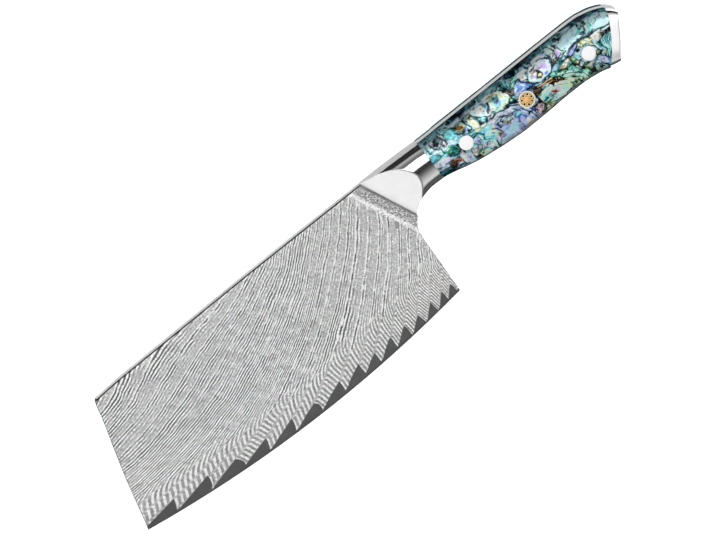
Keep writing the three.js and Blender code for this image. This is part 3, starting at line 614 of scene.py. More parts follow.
# Painted in order, mm along the grip and across it. b: area, tones from its outline inwards (mm); e: oval with its turn in degrees,
# tones from its middle outwards (0 to 1); l: line with its width. A tone with a trailing - is clear.
FIGURES = [
    # ---- broad grounds
    ("b", "0 steel 1.5 lav", [(49, .9), (55, .8), (60, .8), (66, .9), (71, .6), (71, -1.6), (66, -1.2), (60, -1.4), (54, -1.8), (50, -1.2)]),
    ("b", "0 teal 1 cyan 2.5 steel", [(33, 2), (40, 2.5), (46, 1), (50, -2), (52, -7), (48, -11), (42, -10.5), (33, -9.8)]),
    ("b", "0 smoke 1 steel 2 cyan", [(52, -8), (58, -9), (66, -9.5), (67, -14), (66, -18), (62, -21), (55, -21), (53, -16)]),
    ("b", "0 smoke .8 lav 2 peri", [(66, -9.6), (74, -9.8), (82, -12), (88, -17), (90, -23), (78, -24), (66, -23.4), (64, -18)]),
    ("b", "0 navy .8 smoke 2 blue", [(81, -7), (84, -4), (88, -3), (91, -6), (93, -9.6), (91, -11.4), (84, -11)]),
    ("b", "0 deep 1 green 2.2 mint", [(99, -10), (105, -11.5), (111, -12.5), (115, -17), (119, -22), (119, -25), (108, -24), (104, -18)]),
    ("b", "0 ink .8 moss 1.6 olive 2.6 steel", [(111, -9.5), (118, -6.5), (127, -7.5), (131, -11), (128, -20), (122, -25), (115, -20)]),
    # ---- front end
    ("b", "0 deep .4 teal 1.2 cyan", [(33.6, -5.8), (36, -6), (38.2, -7.6), (38.4, -9.6), (33.6, -9.6)]),
    ("e", 34.6, -8, 1.4, 1.0, 0, "0 blue .9 peri-"),
    ("l", "ice", 1.3, [(34.2, .6), (34.3, -2), (34.2, -5.6)]), ("l", "deep", .55, [(35.6, 1.6), (35.8, -.6), (35.7, -3.2), (35.9, -5)]),
    ("l", "aqua", 1.5, [(36.9, .8), (37.1, -1.4), (37.2, -3.4), (38, -5.6), (39.6, -7.2), (41.2, -8.1)]), ("l", "white", .9, [(37, .8), (37.3, -1.2), (37.4, -3.2), (38.2, -5.3), (39.8, -6.9), (41.2, -7.7)]),
    ("l", "deep", .5, [(38.2, 1.2), (38, -.6), (37.9, -2.6)]), ("l", "teal", .5, [(36, -3), (36.2, -5.2), (37, -6.8)]),
    ("b", "0 smoke .4 lilac .9 teal 1.6 deep", [(38.4, -1.8), (39.3, -.4), (41, .3), (42.6, -.2), (43.2, -1.6), (42.9, -3.2), (41.8, -4.5), (40, -4.6), (38.9, -3.5)]),
    ("e", 40.3, -2.9, 1.4, 1.9, 24, "0 plum .5 plum 1 smoke-"), ("e", 42, -1.6, 1.1, 1.5, -10, "0 steel .5 teal 1 teal-"), ("e", 39.2, -1.6, .9, 1.0, 0, "0 lilac .6 lilac 1 lav-"),
    ("l", "ink", .45, [(38.0, -1.6), (38.3, -3.4), (39.2, -4.7), (40.6, -5.3), (42, -5.1)]), ("l", "ice", .55, [(38.5, -.6), (39.6, .2), (41.2, .8), (42.4, .6)]),
    ("l", "white", .95, [(42.4, .9), (43.5, -.4), (44.4, -1.6), (45.1, -3.2)]), ("l", "deep", .4, [(42.6, .2), (43.5, -1.3), (44.2, -2.9)]), ("l", "deep", .4, [(43.6, .8), (44.8, -.8), (45.5, -2.4)]),
    ("l", "ice", .7, [(44.6, .6), (45.6, -.6), (46.4, -1.8)]), ("l", "moss", .8, [(46.4, 2.6), (47.2, 1.2), (48.3, .2)]), ("l", "lime", .4, [(46.2, 1.6), (47.4, .2), (48.6, -.6)]),
    ("b", "0 ink .45 ink .7 plum 1 lilac", [(42.5, -4.4), (43.1, -3.4), (44.3, -3.2), (45, -4.2), (44.9, -5.6), (44.3, -6.9), (43.2, -6.9), (42.5, -5.6)]), ("e", 43.5, -6.4, .6, .5, 0, "0 pink 1 plum"),
    ("b", "0 teal .4 cyan 1.2 aqua 2 cyan", [(45.4, -1.5), (47.5, -.8), (49.8, -1.6), (50.3, -3.5), (49.7, -5.5), (47.5, -6), (45.5, -4.8)]), ("e", 47.2, -4.9, 1.2, .7, 0, "0 aqua .7 aqua 1 aqua-"),
    ("e", 46.8, -1.9, .9, .6, 0, "0 sky .6 sky 1 sky-"), ("e", 48.2, -3.2, 1.2, .9, -30, "0 blue 1 cyan-"), ("e", 47, -6.9, 1.1, 1.3, 20, "0 pearl .6 lav 1 steel-"), ("e", 49.4, -7.2, 1.2, 1.4, 0, "0 teal .6 steel 1 steel-"),
    ("l", "ink", .7, [(41.4, -6.6), (41.3, -8), (41.4, -9.2)]), ("l", "ink", .35, [(38.2, -7.9), (38.6, -8.6), (38.6, -9.5)]), ("l", "ice", .7, [(39, -8), (39.8, -8.5), (40.6, -8.6)]), ("l", "moss", .4, [(39.2, -9.4), (40.2, -9.3), (41.2, -9)]),
    ("b", "0 moss .4 green 1 teal", [(41.6, -9.6), (43, -8.1), (45, -7.5), (46.6, -8.6), (48, -10), (48.2, -12), (46.6, -12.5), (44, -11), (42.5, -10.3)]), ("e", 43.3, -8.6, 1.0, .6, 20, "0 lime .6 lime 1 green-"), ("l", "moss", .4, [(44.4, -8.6), (45.6, -9.6), (46.4, -11)]),
    ("l", "ink", .8, [(47.9, -9.2), (47.8, -11.4), (48.6, -13.8)]), ("e", 45.6, -12.4, 1.6, .7, -30, "0 steel .6 teal 1 teal-"),
    ("b", "0 steel .4 lav .9 pearl", [(33.6, -10), (36, -10.2), (38.5, -9.9), (41, -10.9), (42.8, -12.4), (40.6, -12.9), (38, -12.6), (35, -12.9), (33.6, -12.8)]), ("e", 38.6, -11.6, 1.8, .8, -10, "0 peri .6 lav 1 lav-"), ("e", 41.4, -12.2, 1.3, .5, -30, "0 pearl 1 lav-"),
    ("l", "smoke", .5, [(33.6, -13.4), (36.5, -13.4), (39.4, -13.7)]), ("l", "lav", .7, [(33.6, -14.1), (36.5, -14), (39.4, -14.5)]),
    ("b", "0 navy .5 deep 1.2 teal", [(33.6, -14.9), (37, -14.9), (39.8, -15.1), (41.6, -17), (42.4, -18.8), (38, -18.4), (33.6, -17.6)]), ("e", 35, -16.8, 1.6, .6, -5, "0 navy 1 deep-"), ("e", 38.9, -16, 1.4, .6, -30, "0 steel 1 teal-"),
    ("b", "0 plum .5 umber 1.2 brown", [(39.8, -13.3), (42, -13.2), (44, -13.8), (45.3, -15.4), (45.7, -17.2), (44.2, -16.6), (42.4, -17), (41, -16.8), (40.2, -15)]), ("e", 41.4, -15.6, .9, .9, -30, "0 olive .5 brown 1 umber-"),
    ("l", "rust", .75, [(42.6, -13.7), (44.2, -14.7), (45, -16), (45.4, -17.2)]), ("l", "plum", .6, [(38.6, -12.9), (40.6, -13.2), (42.2, -14.4)]), ("e", 43.4, -17.2, 1.4, .6, -20, "0 steel 1 smoke-"), ("l", "navy", .6, [(42.6, -18), (44.2, -18), (45.6, -18.8)]),
    ("b", "0 lav .5 pearl 1 white", [(45.7, -13.3), (47.4, -12.7), (48.7, -14.6), (50.3, -15.4), (48.2, -16.6), (47.5, -18.6), (46.3, -18.6), (45.7, -16)]), ("l", "ink", .5, [(45.5, -16.8), (45.9, -18.2), (46.4, -19.4)]),
    ("b", "0 lav .5 lav 1.1 peri", [(47.8, -18.4), (48.1, -16.7), (50, -15.7), (51.2, -16.6), (51, -18.4), (50.4, -19.8), (48.8, -20)]), ("e", 49.8, -18.6, .9, 1.0, 0, "0 blue 1 peri-"),
    # ---- between the front rivet and the first shells
    ("b", "0 moss .4 olive 1 brown", [(50.8, -3.5), (52, -2.2), (53.8, -2.1), (55.5, -3.3), (56.4, -4.6), (55, -5.7), (53.2, -5.8), (51.6, -4.8)]), ("e", 53.3, -4.0, 1.0, .6, -20, "0 rust .5 brown 1 brown-"), ("e", 55, -4.4, .8, .6, -30, "0 lime 1 olive-"),
    ("l", "ink", .8, [(50.4, -4.4), (51.8, -5.9), (53.8, -6.4)]), ("l", "moss", .6, [(50, -1.3), (51, -2), (51.8, -3)]), ("l", "ink", .75, [(55.1, -1.5), (56.3, -3.2), (57, -5.2), (57.9, -6.6), (57.3, -7.4), (55.8, -7.1)]),
    ("e", 55.5, -6.0, .8, .9, -20, "0 peri .6 indigo 1 navy"), ("e", 57.0, -6.1, .35, .75, 20, "0 ice .8 steel"),
    ("b", "0 moss .4 olive 1.0 cream", [(57.7, -3.4), (58.8, -2.4), (60, -4), (61.1, -5), (61.5, -7), (61.3, -9.2), (60, -9.8), (59, -8.4), (58.6, -6.6)]), ("e", 59.6, -6.2, .8, 1.7, 10, "0 olive .6 lime 1 olive-"), ("l", "steel", .5, [(58.2, -4.6), (58.8, -6.6), (59, -8.4)]),
    ("e", 60.1, -3.1, 1.0, 1.3, -20, "0 umber .5 brown .9 olive"), ("l", "moss", .35, [(59.8, -1.6), (60.8, -2.4), (61.2, -4)]),
    ("b", "0 smoke .2 white .7 ice 1.3 pearl", [(61.2, -1.6), (62.8, -.6), (63.6, -1.7), (65, -1.8), (66.6, -1.7), (67.9, -2.8), (68.5, -4.2), (67.7, -5.9), (66.5, -6.8), (64.6, -6.1), (63, -5.5), (61.8, -4.2)]),
    ("e", 62.9, -2.9, .9, 1.4, -5, "0 teal .5 steel 1 steel-"), ("e", 64.7, -4.3, 1.0, .9, 0, "0 pink .7 lilac 1 lilac-"), ("e", 66.1, -3.3, 1.2, .8, -15, "0 rust .35 sand .8 cream 1 cream-"), ("e", 64.2, -2.6, .7, .5, 0, "0 lilac 1 lilac-"),
    ("l", "smoke", .4, [(62.4, -.2), (63.5, -1.3), (65.5, -1.3), (67.3, -1.8), (68.5, -3.2), (68.9, -4.8)]), ("l", "deep", .6, [(60.9, -1.8), (61.5, -4.4), (62.6, -5.9), (63.8, -6.3)]), ("l", "ink", .5, [(61.8, -5.6), (62.2, -7), (61.8, -8.4)]),
    ("b", "0 deep .25 cyan .6 aqua", [(62.8, -7.3), (64, -6.4), (65.4, -6.7), (66, -7.8), (65.1, -8.9), (63.6, -8.7)]), ("l", "ink", .5, [(62.2, -7.6), (62.6, -8.9), (63.8, -9.5), (65.2, -9.4), (66.2, -8.4)]), ("l", "ink", .6, [(65.9, -6.8), (66.8, -7.7), (68, -8)]),
    ("b", "0 steel .5 sky 1.2 pearl", [(67.3, .3), (70, .6), (71.2, -1), (70.3, -3), (69.2, -3.2), (68.4, -1.4)]), ("l", "ink", 1.2, [(68, -6.6), (69.4, -4.9), (70.5, -3.2)]),
    ("l", "teal", .9, [(54.6, -7.7), (56, -8.2), (57.6, -8.6)]), ("l", "aqua", .9, [(55.2, -9), (56.8, -9.2), (58.2, -9.9)]), ("l", "white", .4, [(55.6, -9.1), (56.8, -9.3)]), ("l", "deep", .4, [(55, -9.9), (57, -10.1), (59, -10.7)]),
    ("e", 59.6, -9.7, 1.5, .7, -8, "0 cream .5 lime .9 olive"), ("l", "brown", .45, [(60.8, -10.3), (62.4, -10.6), (64, -10), (65, -9.5)]), ("l", "cream", .5, [(61.2, -9.6), (62.6, -9.9), (63.8, -9.7)]), ("e", 65.4, -10.6, 1.1, .9, -20, "0 mint .6 steel 1 steel-"),
    # ---- below and behind the front rivet
    ("b", "0 navy .25 lav .8 peri", [(55, -12), (57, -11.4), (58.1, -12.6), (57.9, -14.5), (57.6, -16.2), (56.2, -15.5), (54.9, -13.6)]), ("e", 56.8, -14.2, .7, 1.2, 20, "0 indigo .4 peri 1 peri-"), ("e", 56.2, -12.4, .8, .6, 0, "0 pearl 1 lav-"),
    ("b", "0 cyan .3 ice .8 white", [(58, -11.6), (59.4, -12.4), (59.8, -13.8), (59, -15), (58.2, -14.4)]), ("l", "ink", .55, [(54.8, -11), (57, -10.9), (58.8, -11.2), (60, -12.4), (60.2, -13.9), (59.4, -15.1), (59.8, -16.2), (61.2, -17.2)]),
    ("b", "0 cyan .5 aqua 1.3 ice", [(60, -14.8), (60.5, -13.3), (62.2, -12.6), (63.6, -13.3), (64.2, -15), (63.8, -16.8), (61.6, -16.4)]), ("e", 61, -12.3, 1.1, .7, 10, "0 blue .6 sky 1 sky-"), ("e", 63, -11.6, 1.1, .6, -10, "0 lilac .6 lav 1 lav-"), ("l", "teal", .35, [(60.6, -15), (62, -16), (63.6, -17.4)]),
    ("e", 65.2, -12.9, 1.4, .9, -8, "0 cream .5 lime 1 mint-"), ("l", "lime", .9, [(63.7, -14), (65.4, -15.4), (67.2, -17.4)]), ("l", "cream", .4, [(64.2, -14.2), (65.6, -15.3)]), ("l", "umber", .5, [(64.4, -13.6), (65.6, -14.1), (66.9, -15.4), (67.8, -16.6)]), ("l", "moss", .45, [(63.6, -15), (65, -16.4), (66.6, -17.8)]),
    ("e", 65.3, -17.2, 1.2, .8, -35, "0 mint .6 spring 1 spring-"),
    ("b", "0 steel .35 lilac .9 white", [(54.8, -14.4), (56, -15.8), (58, -16.6), (60.5, -18), (62.3, -19.9), (61.5, -20.8), (59, -19), (57, -18.2), (55.4, -17.3), (54, -16)]), ("l", "green", .35, [(54.4, -17.8), (57, -18.5), (58.8, -19.7), (60, -21.4)]), ("l", "ice", .6, [(58.2, -15.8), (60.2, -17), (62.2, -18.4)]),
    ("b", "0 olive .4 lime .9 mint", [(54, -18.5), (56, -18.7), (58, -19.8), (59.4, -21.2), (59.6, -22.6), (57, -22.2), (55, -21.6)]), ("l", "olive", .3, [(55, -19.6), (56.8, -20.2), (58.4, -21.8)]), ("b", "0 moss .5 umber", [(51.6, -19.6), (53.6, -19.3), (54.8, -21.2), (53, -21.8), (51, -21.2)]),
    ("b", "0 green .3 mint .7 ice", [(61.8, -17.4), (63.1, -18.4), (63.3, -20.5), (62.7, -22.6), (61.7, -22.4), (61.9, -19.6)]), ("l", "ink", .55, [(59.4, -20.4), (60.3, -22.4)]), ("l", "ink", .6, [(60.9, -20.8), (61.3, -22.8)]), ("l", "ink", .5, [(63.6, -19.4), (63.3, -22.8)]),
    ("e", 53, -17.3, 1.7, 1.7, 0, "0 smoke .25 cream .5 sand .7 white .9 smoke"), ("l", "plum", .4, [(51.4, -16.4), (51.4, -17.6), (52, -18.8)]), ("e", 54.4, -15.2, 1.3, 1.0, -20, "0 cream .6 pearl 1 pearl-"),
    ("e", 66.4, -18.4, 1.6, 1.0, 0, "0 sand .5 pink 1 cream-"), ("e", 67.8, -16.8, .6, 1.3, 20, "0 brown .6 smoke 1 smoke-"), ("e", 66, -20.9, 2.6, 1.2, 0, "0 sky .6 steel 1 steel-"), ("e", 65, -19.2, 1.0, .6, 0, "0 pearl 1 pearl-"),
    # ---- middle
    ("b", "0 smoke .15 cream .7 lime 1.3 mint 2.2 sky", [(71, -1.2), (73, -1.3), (75.5, -1.5), (78, -2.3), (79.7, -4.4), (79.9, -6.4), (78.7, -8.3), (76.5, -9.1), (74, -8.7), (71.6, -8.4), (70.5, -6.4), (70.7, -3.6)]),
    ("e", 73.3, -5.7, 2.0, 2.1, 0, "0 blue .5 sky 1 sky-"), ("e", 73.6, -3.2, 1.6, 1.0, -10, "0 steel 1 sky-"), ("e", 77, -4.8, 1.3, 2.3, 8, "0 olive .3 lime .7 cream 1 lime-"), ("e", 72, -7.4, 1.2, .7, 0, "0 sky .6 spring 1 spring-"),
    ("l", "moss", .3, [(76, -6.6), (76.7, -7.2), (77.4, -7)]), ("l", "green", .3, [(78.2, -5.4), (78.6, -6.4)]), ("l", "olive", .3, [(75.4, -2.4), (76.8, -3.4), (77.8, -4.8)]), ("l", "spring", .6, [(70.8, -8.5), (73, -9.1), (75.4, -9.4)]), ("l", "cream", .9, [(70.2, .3), (72.4, -.4), (75, -1), (77.2, -1.9)]), ("e", 72, .1, .9, .4, -15, "0 sand 1 cream-"),
    ("e", 69.6, -6.6, .9, .7, 20, "0 sand .5 pink .9 brown"), ("l", "ink", .4, [(67.6, -8.6), (69, -7.8), (70.4, -8.2)]), ("e", 69.8, -8.6, .7, .4, -20, "0 green 1 moss"),
    ("b", "0 teal .8 cyan 1.6 aqua", [(78.1, -1), (79, 1), (80.4, 2.6), (82, 2), (83.3, 0), (83.7, -1.8), (82.6, -3), (80.8, -2.5), (79, -1.8)]), ("e", 81.4, -1.1, 1.4, .9, -20, "0 ice .6 aqua 1 aqua-"), ("e", 82.7, .1, .7, .7, 0, "0 sky 1 cyan-"), ("e", 78.6, -.6, .8, .8, 0, "0 mint 1 mint-"),
    ("b", "0 ink .5 umber", [(78.3, -2.1), (80.6, -3.1), (83.7, -4.6), (84.1, -5.4), (82.7, -6.1), (82, -7.2), (80.8, -6.8), (79.9, -5)]), ("l", "moss", .6, [(80.6, -6.8), (80.2, -8), (80.8, -9.4)]), ("e", 81, -8, .6, .5, 0, "0 aqua .6 cyan 1 deep"), ("e", 79.6, -8.8, .6, .5, 0, "0 mint 1 green"),
    ("b", "0 teal .3 spring .8 ice", [(83.5, -3.7), (84.6, -1.6), (86.5, -.4), (88, -.3), (87, -1.6), (85.8, -2.8), (84.6, -4.2)]), ("e", 85.6, -2.5, 1.0, .5, 20, "0 cyan .6 cyan 1 aqua-"),
    ("b", "0 smoke .5 lav 1.2 blue", [(82.3, -6.8), (84, -5), (86, -3.7), (87.6, -5.4), (88.7, -7.4), (88, -8.8), (86, -9), (84, -8.8), (82.7, -8.6)]), ("e", 86, -6.2, 1.2, 1.5, 20, "0 azure .3 blue 1 blue-"), ("e", 83.6, -7.7, .9, .7, 20, "0 lilac 1 lav-"),
    ("b", "0 lav .5 pearl 1 white", [(87.5, -1), (90, -.5), (92.6, -.7), (93.5, -1.8), (92, -2.7), (91.4, -4), (91, -5.2), (89.6, -5.6), (88.4, -4.6), (88.2, -3)]), ("e", 89.5, -3.9, 1.0, 1.0, 0, "0 sand .5 cream 1 cream-"), ("e", 89.5, -5.2, .7, .45, 0, "0 umber .5 brown 1 sand-"), ("l", "navy", .7, [(86.2, -2.6), (87.6, -3.7), (88.2, -5.2), (89.6, -6.8), (91, -8.2)]), ("e", 92.2, -3.2, .6, .5, 0, "0 ink .8 navy"), ("e", 92, 1.8, 1.7, 1.4, 0, "0 indigo .5 indigo 1 navy-"),
    # ---- the large pearl
    ("b", "0 steel .3 lav 1 pearl", [(94.6, -1.4), (96.4, .7), (99, 1.2), (101.6, .8), (103.8, -1.2), (103, -3), (98, -2.4)]), ("l", "sky", .5, [(100.8, .6), (102.6, -.6), (104, -2.6)]),
    ("b", "0 deep .2 ice .7 white 1.3 lav 2.2 lilac", [(91.3, -6.4), (92.6, -3.6), (94.4, -1.6), (96.6, -1), (98.6, -1.2), (101, -1.4), (103, -2.8), (104, -4.4), (104, -6.4), (103, -8.6), (100.6, -9.9), (97.4, -10), (94.2, -9.2), (92, -7.9)]),
    ("e", 94.6, -5.2, 2.0, 1.3, -8, "0 pink .5 cream 1 lilac-"), ("e", 94.3, -6.9, 1.3, .6, -25, "0 violet .6 peri 1 lav-"), ("e", 92.6, -5.6, .8, 1.4, -20, "0 lilac 1 lav-"),
    ("b", "0 smoke .15 ice .5 lav 1 lilac 1.8 violet", [(95.9, -5.4), (96.5, -3.4), (98.4, -2.1), (100.6, -2.1), (102.4, -3.3), (103.3, -5.4), (102.9, -7.5), (101, -8.8), (99.4, -8.3), (98.4, -6.7), (97, -6.1)]), ("e", 99, -4, 1.6, 1.0, 20, "0 lilac .6 lilac 1 lav-"), ("e", 101.3, -5.4, 1.1, 1.2, 0, "0 violet .6 violet 1 lilac-"),
    ("l", "navy", .7, [(99, -1.6), (101.2, -1.8), (103, -3.4), (103.9, -5.6), (103.5, -7.9), (101.9, -9.6), (99.2, -10.5), (96, -10.5), (93, -9.9), (91.2, -8), (90, -6.8)]), ("l", "navy", .8, [(103.2, -3.4), (104.2, -5.4), (103.9, -8)]),
    ("l", "ice", .55, [(91.8, -6.9), (92.8, -8.4), (94.8, -9.5), (97, -9.7)]), ("l", "sky", .35, [(102.6, -4), (103.1, -5.6), (102.8, -7.2), (101.6, -8.6)]),
    ("l", "umber", .75, [(93.7, -3.6), (95.2, -3.4), (96.4, -2.8)]), ("l", "umber", .4, [(96.2, -2.9), (97.4, -2.2)]), ("e", 95.4, -3.4, .7, .3, 15, "0 rust 1 umber"), ("l", "cream", .35, [(93.6, -2.8), (95.2, -2.4), (97.2, -1.5)]), ("l", "pink", .4, [(93.4, -4.4), (95, -4.3), (96.4, -3.8)]),
    ("e", 96.6, -7.4, 1.9, 1.6, 10, "0 cream .3 lime .5 olive .58 ink .85 ink .96 plum"), ("e", 99.3, -8.8, 1.5, .7, 15, "0 azure .5 azure .8 sky 1 sky-"), ("e", 98.3, -9.2, .8, .35, 0, "0 ice 1 sky-"),
    # ---- brown strip and the mint shell below it
    ("l", "deep", .9, [(88.8, -9.2), (91, -10.8), (94, -11.4), (98, -11)]), ("l", "blue", .5, [(88.8, -8.4), (90.4, -9.8), (92.4, -10.6)]), ("l", "steel", .3, [(90.6, -9.6), (92.6, -10.7), (95.4, -11.1)]),
    ("l", "ink", 2.2, [(90.4, -13), (93, -12.1), (96, -12), (99, -12.6), (101.4, -14), (103.6, -15.8)]), ("l", "brown", 1.7, [(90.8, -13.2), (93, -12.3), (96, -12.2), (99, -12.8), (101.4, -14.2), (103.4, -15.8)]), ("l", "sand", .4, [(92.4, -11.9), (95, -11.7), (98, -12), (100.4, -13)]), ("l", "sand", .3, [(93, -12.9), (96, -12.8), (99, -13.4), (101.6, -14.8)]), ("l", "umber", .25, [(92, -12.5), (95, -12.3), (98, -12.7), (101, -14)]),
    ("e", 91.2, -11.9, 1.3, .5, 5, "0 ink .8 ink"), ("e", 90.8, -14.6, .7, .8, 0, "0 moss .7 olive 1 olive-"),
    ("b", "0 moss .2 cream .7 mint 1.6 mint 2.6 steel", [(90.5, -16.6), (92.4, -14.7), (95, -14.1), (98, -14.3), (101, -15.1), (104, -16.9), (106.3, -19), (106.5, -20.8), (104, -22), (100, -22.2), (96, -21.8), (92.6, -21), (90.7, -19.4)]),
    ("e", 93, -17.6, 1.9, 2.0, 0, "0 teal .5 aqua 1 mint-"), ("e", 94.4, -16.2, 1.0, .8, 0, "0 aqua 1 mint-"), ("e", 96, -17.6, 1.5, 1.9, -20, "0 smoke .4 steel 1 mint-"), ("e", 97.4, -15.8, 1.4, .7, -10, "0 sand 1 cream-"), ("e", 103, -19.4, 2.0, 1.5, -20, "0 mint .7 spring 1 mint-"),
    ("l", "cream", .7, [(98.6, -15), (101, -16), (103.4, -17.4)]), ("l", "lime", .8, [(101.4, -17.2), (103.4, -18.8), (105, -20.6)]),
    ("l", "smoke", .35, [(95.4, -15.2), (98.6, -15.7), (101.8, -17.1), (104.2, -19.2)]), ("l", "steel", .8, [(94, -19.9), (97, -20.5), (99.6, -21.2)]),
    ("l", "white", .45, [(99.2, -20.4), (101.4, -20.9), (103.4, -21.4)]), ("l", "spring", .5, [(92.6, -18.9), (94, -20.4), (96.4, -21.3)]),
    ("b", "0 pink .25 rust .5 red", [(96.8, -16.8), (98.4, -17.3), (100, -18.9), (99.4, -19.6), (98, -18.9), (96.9, -18.2)]), ("l", "umber", .25, [(97, -17.4), (98.2, -18), (99, -18.8)]), ("e", 100.6, -18.2, 1.3, 1.0, -15, "0 pink .6 pink 1 cream-"), ("e", 99.6, -20.2, 1.6, .8, -10, "0 mint 1 mint-"), ("l", "sand", .5, [(105.6, -19), (106.2, -20.4), (105, -21.8)]),
    ("l", "moss", .4, [(91.6, -21), (95.6, -22.2), (100, -22.6), (104.4, -22.2)]), ("l", "moss", .35, [(91, -14.8), (93, -13.8), (96.5, -13.7), (100, -14.6), (104, -16.5), (107, -19)]),
    ("b", "0 olive .4 lime .9 cream", [(88.5, -21.6), (91, -20.8), (93.4, -20.8), (95.6, -21.9), (94, -23), (91, -23.2), (89, -23)]), ("e", 92.4, -21.4, 1.2, .5, 0, "0 olive .6 lime 1 lime-"),
    ("b", "0 plum .2 lilac .7 pink", [(85.3, -20), (86.4, -18.3), (88, -17.8), (90, -18.5), (90.2, -20), (88.6, -21.6), (86.4, -22.4), (85.3, -21.8)]), ("e", 86.8, -20.2, .9, 1.1, 0, "0 violet 1 lilac-"), ("l", "white", .4, [(86, -16.8), (87, -18.4), (87.2, -20.4)]), ("l", "plum", .3, [(85.5, -17), (86.3, -19), (85.6, -22.6)]), ("l", "plum", .3, [(87.7, -16.4), (88.4, -18.2)]), ("e", 88.4, -16, .8, 1.0, -20, "0 lilac .6 lilac 1 smoke-"), ("e", 89.3, -16.9, .5, .65, 0, "0 ink .8 moss"),
    # ---- flowing grey and blue bands of the middle
    ("l", "lav", 2.2, [(66.6, -10.9), (69, -11.5), (72, -12.4), (75, -12.6), (78, -12.2)]), ("l", "smoke", .9, [(68.4, -10.9), (70.6, -12), (73, -13), (76, -13.6), (79, -13.2)]), ("l", "ink", .35, [(66.8, -12), (69.4, -11.8), (71.2, -12.6), (74, -14.2), (76.2, -14.8)]), ("l", "ink", .4, [(69.6, -10.9), (71.6, -12), (74.2, -13.4), (76.6, -14)]),
    ("l", "ink", .65, [(67, -9.5), (69.6, -9.5), (72, -9.8), (74.5, -10.3), (77, -10.5), (79, -11.5), (81.2, -13)]), ("l", "plum", .8, [(74.6, -9.6), (77.6, -9.4), (80, -10.4), (81.4, -11.6)]), ("e", 75.8, -11.5, 1.1, .6, 0, "0 pearl .6 lav 1 lav-"), ("e", 77.8, -12.6, 1.3, 1.0, -10, "0 green .4 teal 1 steel-"), ("e", 72.6, -11, 1.4, .5, -12, "0 mint 1 lav-"), ("e", 67.4, -10.9, .9, .5, 0, "0 lilac 1 lav-"),
    ("l", "navy", .5, [(75, -14.9), (77.4, -13.9), (79.6, -14.2), (81.6, -15.4), (83.4, -17.2), (84.4, -19.4)]), ("l", "smoke", 1.0, [(79.2, -13.4), (81.2, -14.4), (83, -16)]), ("l", "ink", .45, [(67, -13), (69, -13.4), (70.8, -14.2), (72.4, -15.6), (74, -16.4)]), ("l", "steel", .8, [(67.4, -12.5), (70, -13.2), (72.4, -14.4), (75, -15)]),
    ("l", "olive", .9, [(71, -14.7), (73.4, -15.9), (76, -15.7)]), ("l", "cream", .3, [(72.4, -15), (74.2, -15.6), (76, -15.2)]),
    ("b", "0 lav .6 peri 1.2 sky", [(68.2, -14.6), (70, -15.1), (72, -16.6), (74, -17.3), (76.4, -16.9), (76.7, -18.8), (76, -21.2), (73, -22.4), (70, -22.2), (68.2, -20), (68.6, -17.6)]), ("e", 70.6, -17.7, 1.7, .9, -15, "0 azure .3 blue 1 blue-"), ("e", 73.6, -19.3, 2.3, 1.3, 0, "0 sky .7 sky 1 sky-"), ("e", 69.4, -19.2, 1.0, .7, 0, "0 lilac .6 lav 1 lav-"), ("e", 69.6, -15.9, 1.1, .6, -20, "0 sky 1 sky-"), ("e", 75.4, -21, 1.0, .8, 0, "0 lav 1 peri-"),
    ("b", "0 deep .3 teal .7 cyan", [(76.3, -16.5), (77.6, -14.8), (79.4, -14.7), (80.8, -16.3), (79.6, -17), (77.8, -17)]), ("e", 78.4, -15.6, .8, .5, 0, "0 spring 1 cyan-"), ("l", "indigo", 1.0, [(76.9, -19), (77.4, -17.4), (78.8, -17), (80.1, -17.9), (80.8, -19.4)]), ("l", "blue", .6, [(80, -16.9), (81.6, -18.6), (82.4, -20.8)]), ("l", "white", .55, [(80.4, -16.2), (82, -18), (83, -20.4), (83.4, -23.4)]), ("l", "sky", .4, [(79.8, -16.8), (81.2, -18.4), (82.4, -21), (82.8, -23.4)]), ("l", "navy", .5, [(81, -15.6), (82.8, -17.6), (83.9, -20), (84.1, -23.4)]), ("l", "ice", .45, [(82.2, -15.4), (83.8, -17.4), (84.6, -19.8), (84.8, -23.4)]), ("l", "indigo", .5, [(84.4, -17), (85.2, -18.8), (85.2, -21)]),
    ("e", 78.2, -19.2, 1.2, 1.5, 0, "0 lilac .4 peri 1 violet-"), ("b", "0 lav .3 pink .8 cream", [(79.2, -23.6), (79.8, -20.8), (80.8, -19.5), (81.8, -21), (82.4, -23.8)]), ("l", "smoke", .5, [(76.8, -20), (77.4, -21.6), (77.8, -23.6)]), ("e", 78.8, -21.8, .7, 1.1, 0, "0 peri .6 peri 1 lav-"), ("e", 68.6, -22, 1.6, .7, 0, "0 aqua .6 aqua 1 sky-"),
    # ---- behind the pearl
    ("b", "0 smoke .3 mint .7 pearl", [(104.7, -.6), (106, .8), (107.4, -1), (107.7, -3.6), (106.9, -6.4), (105.5, -8.6), (104.9, -6.8), (105.2, -3.6)]), ("e", 106.4, -1.6, .7, 1.6, 0, "0 mint .6 mint 1 pearl-"), ("e", 105.8, -6, .5, 1.4, 15, "0 violet 1 lav-"), ("l", "navy", .7, [(104.4, -2.6), (105, -5), (104.4, -8)]), ("e", 104.6, -9, 1.5, .7, 10, "0 azure .5 sky 1 blue"),
    ("b", "0 ink .3 plum .9 violet", [(108, -2.5), (109.5, -2.7), (110.3, -4.4), (110.3, -5.8), (108.9, -6.8), (107.8, -8), (107.1, -8.4), (107.5, -6), (107.7, -4.2)]), ("l", "white", .75, [(107.5, 1), (108.5, -1.5), (109.9, -3.8), (110.9, -5.2)]), ("l", "smoke", .5, [(106.9, -7.6), (105.8, -9.4), (104.8, -10.6)]), ("e", 106.4, 1.8, 1.0, 1.0, 0, "0 brown .6 brown 1 umber-"),
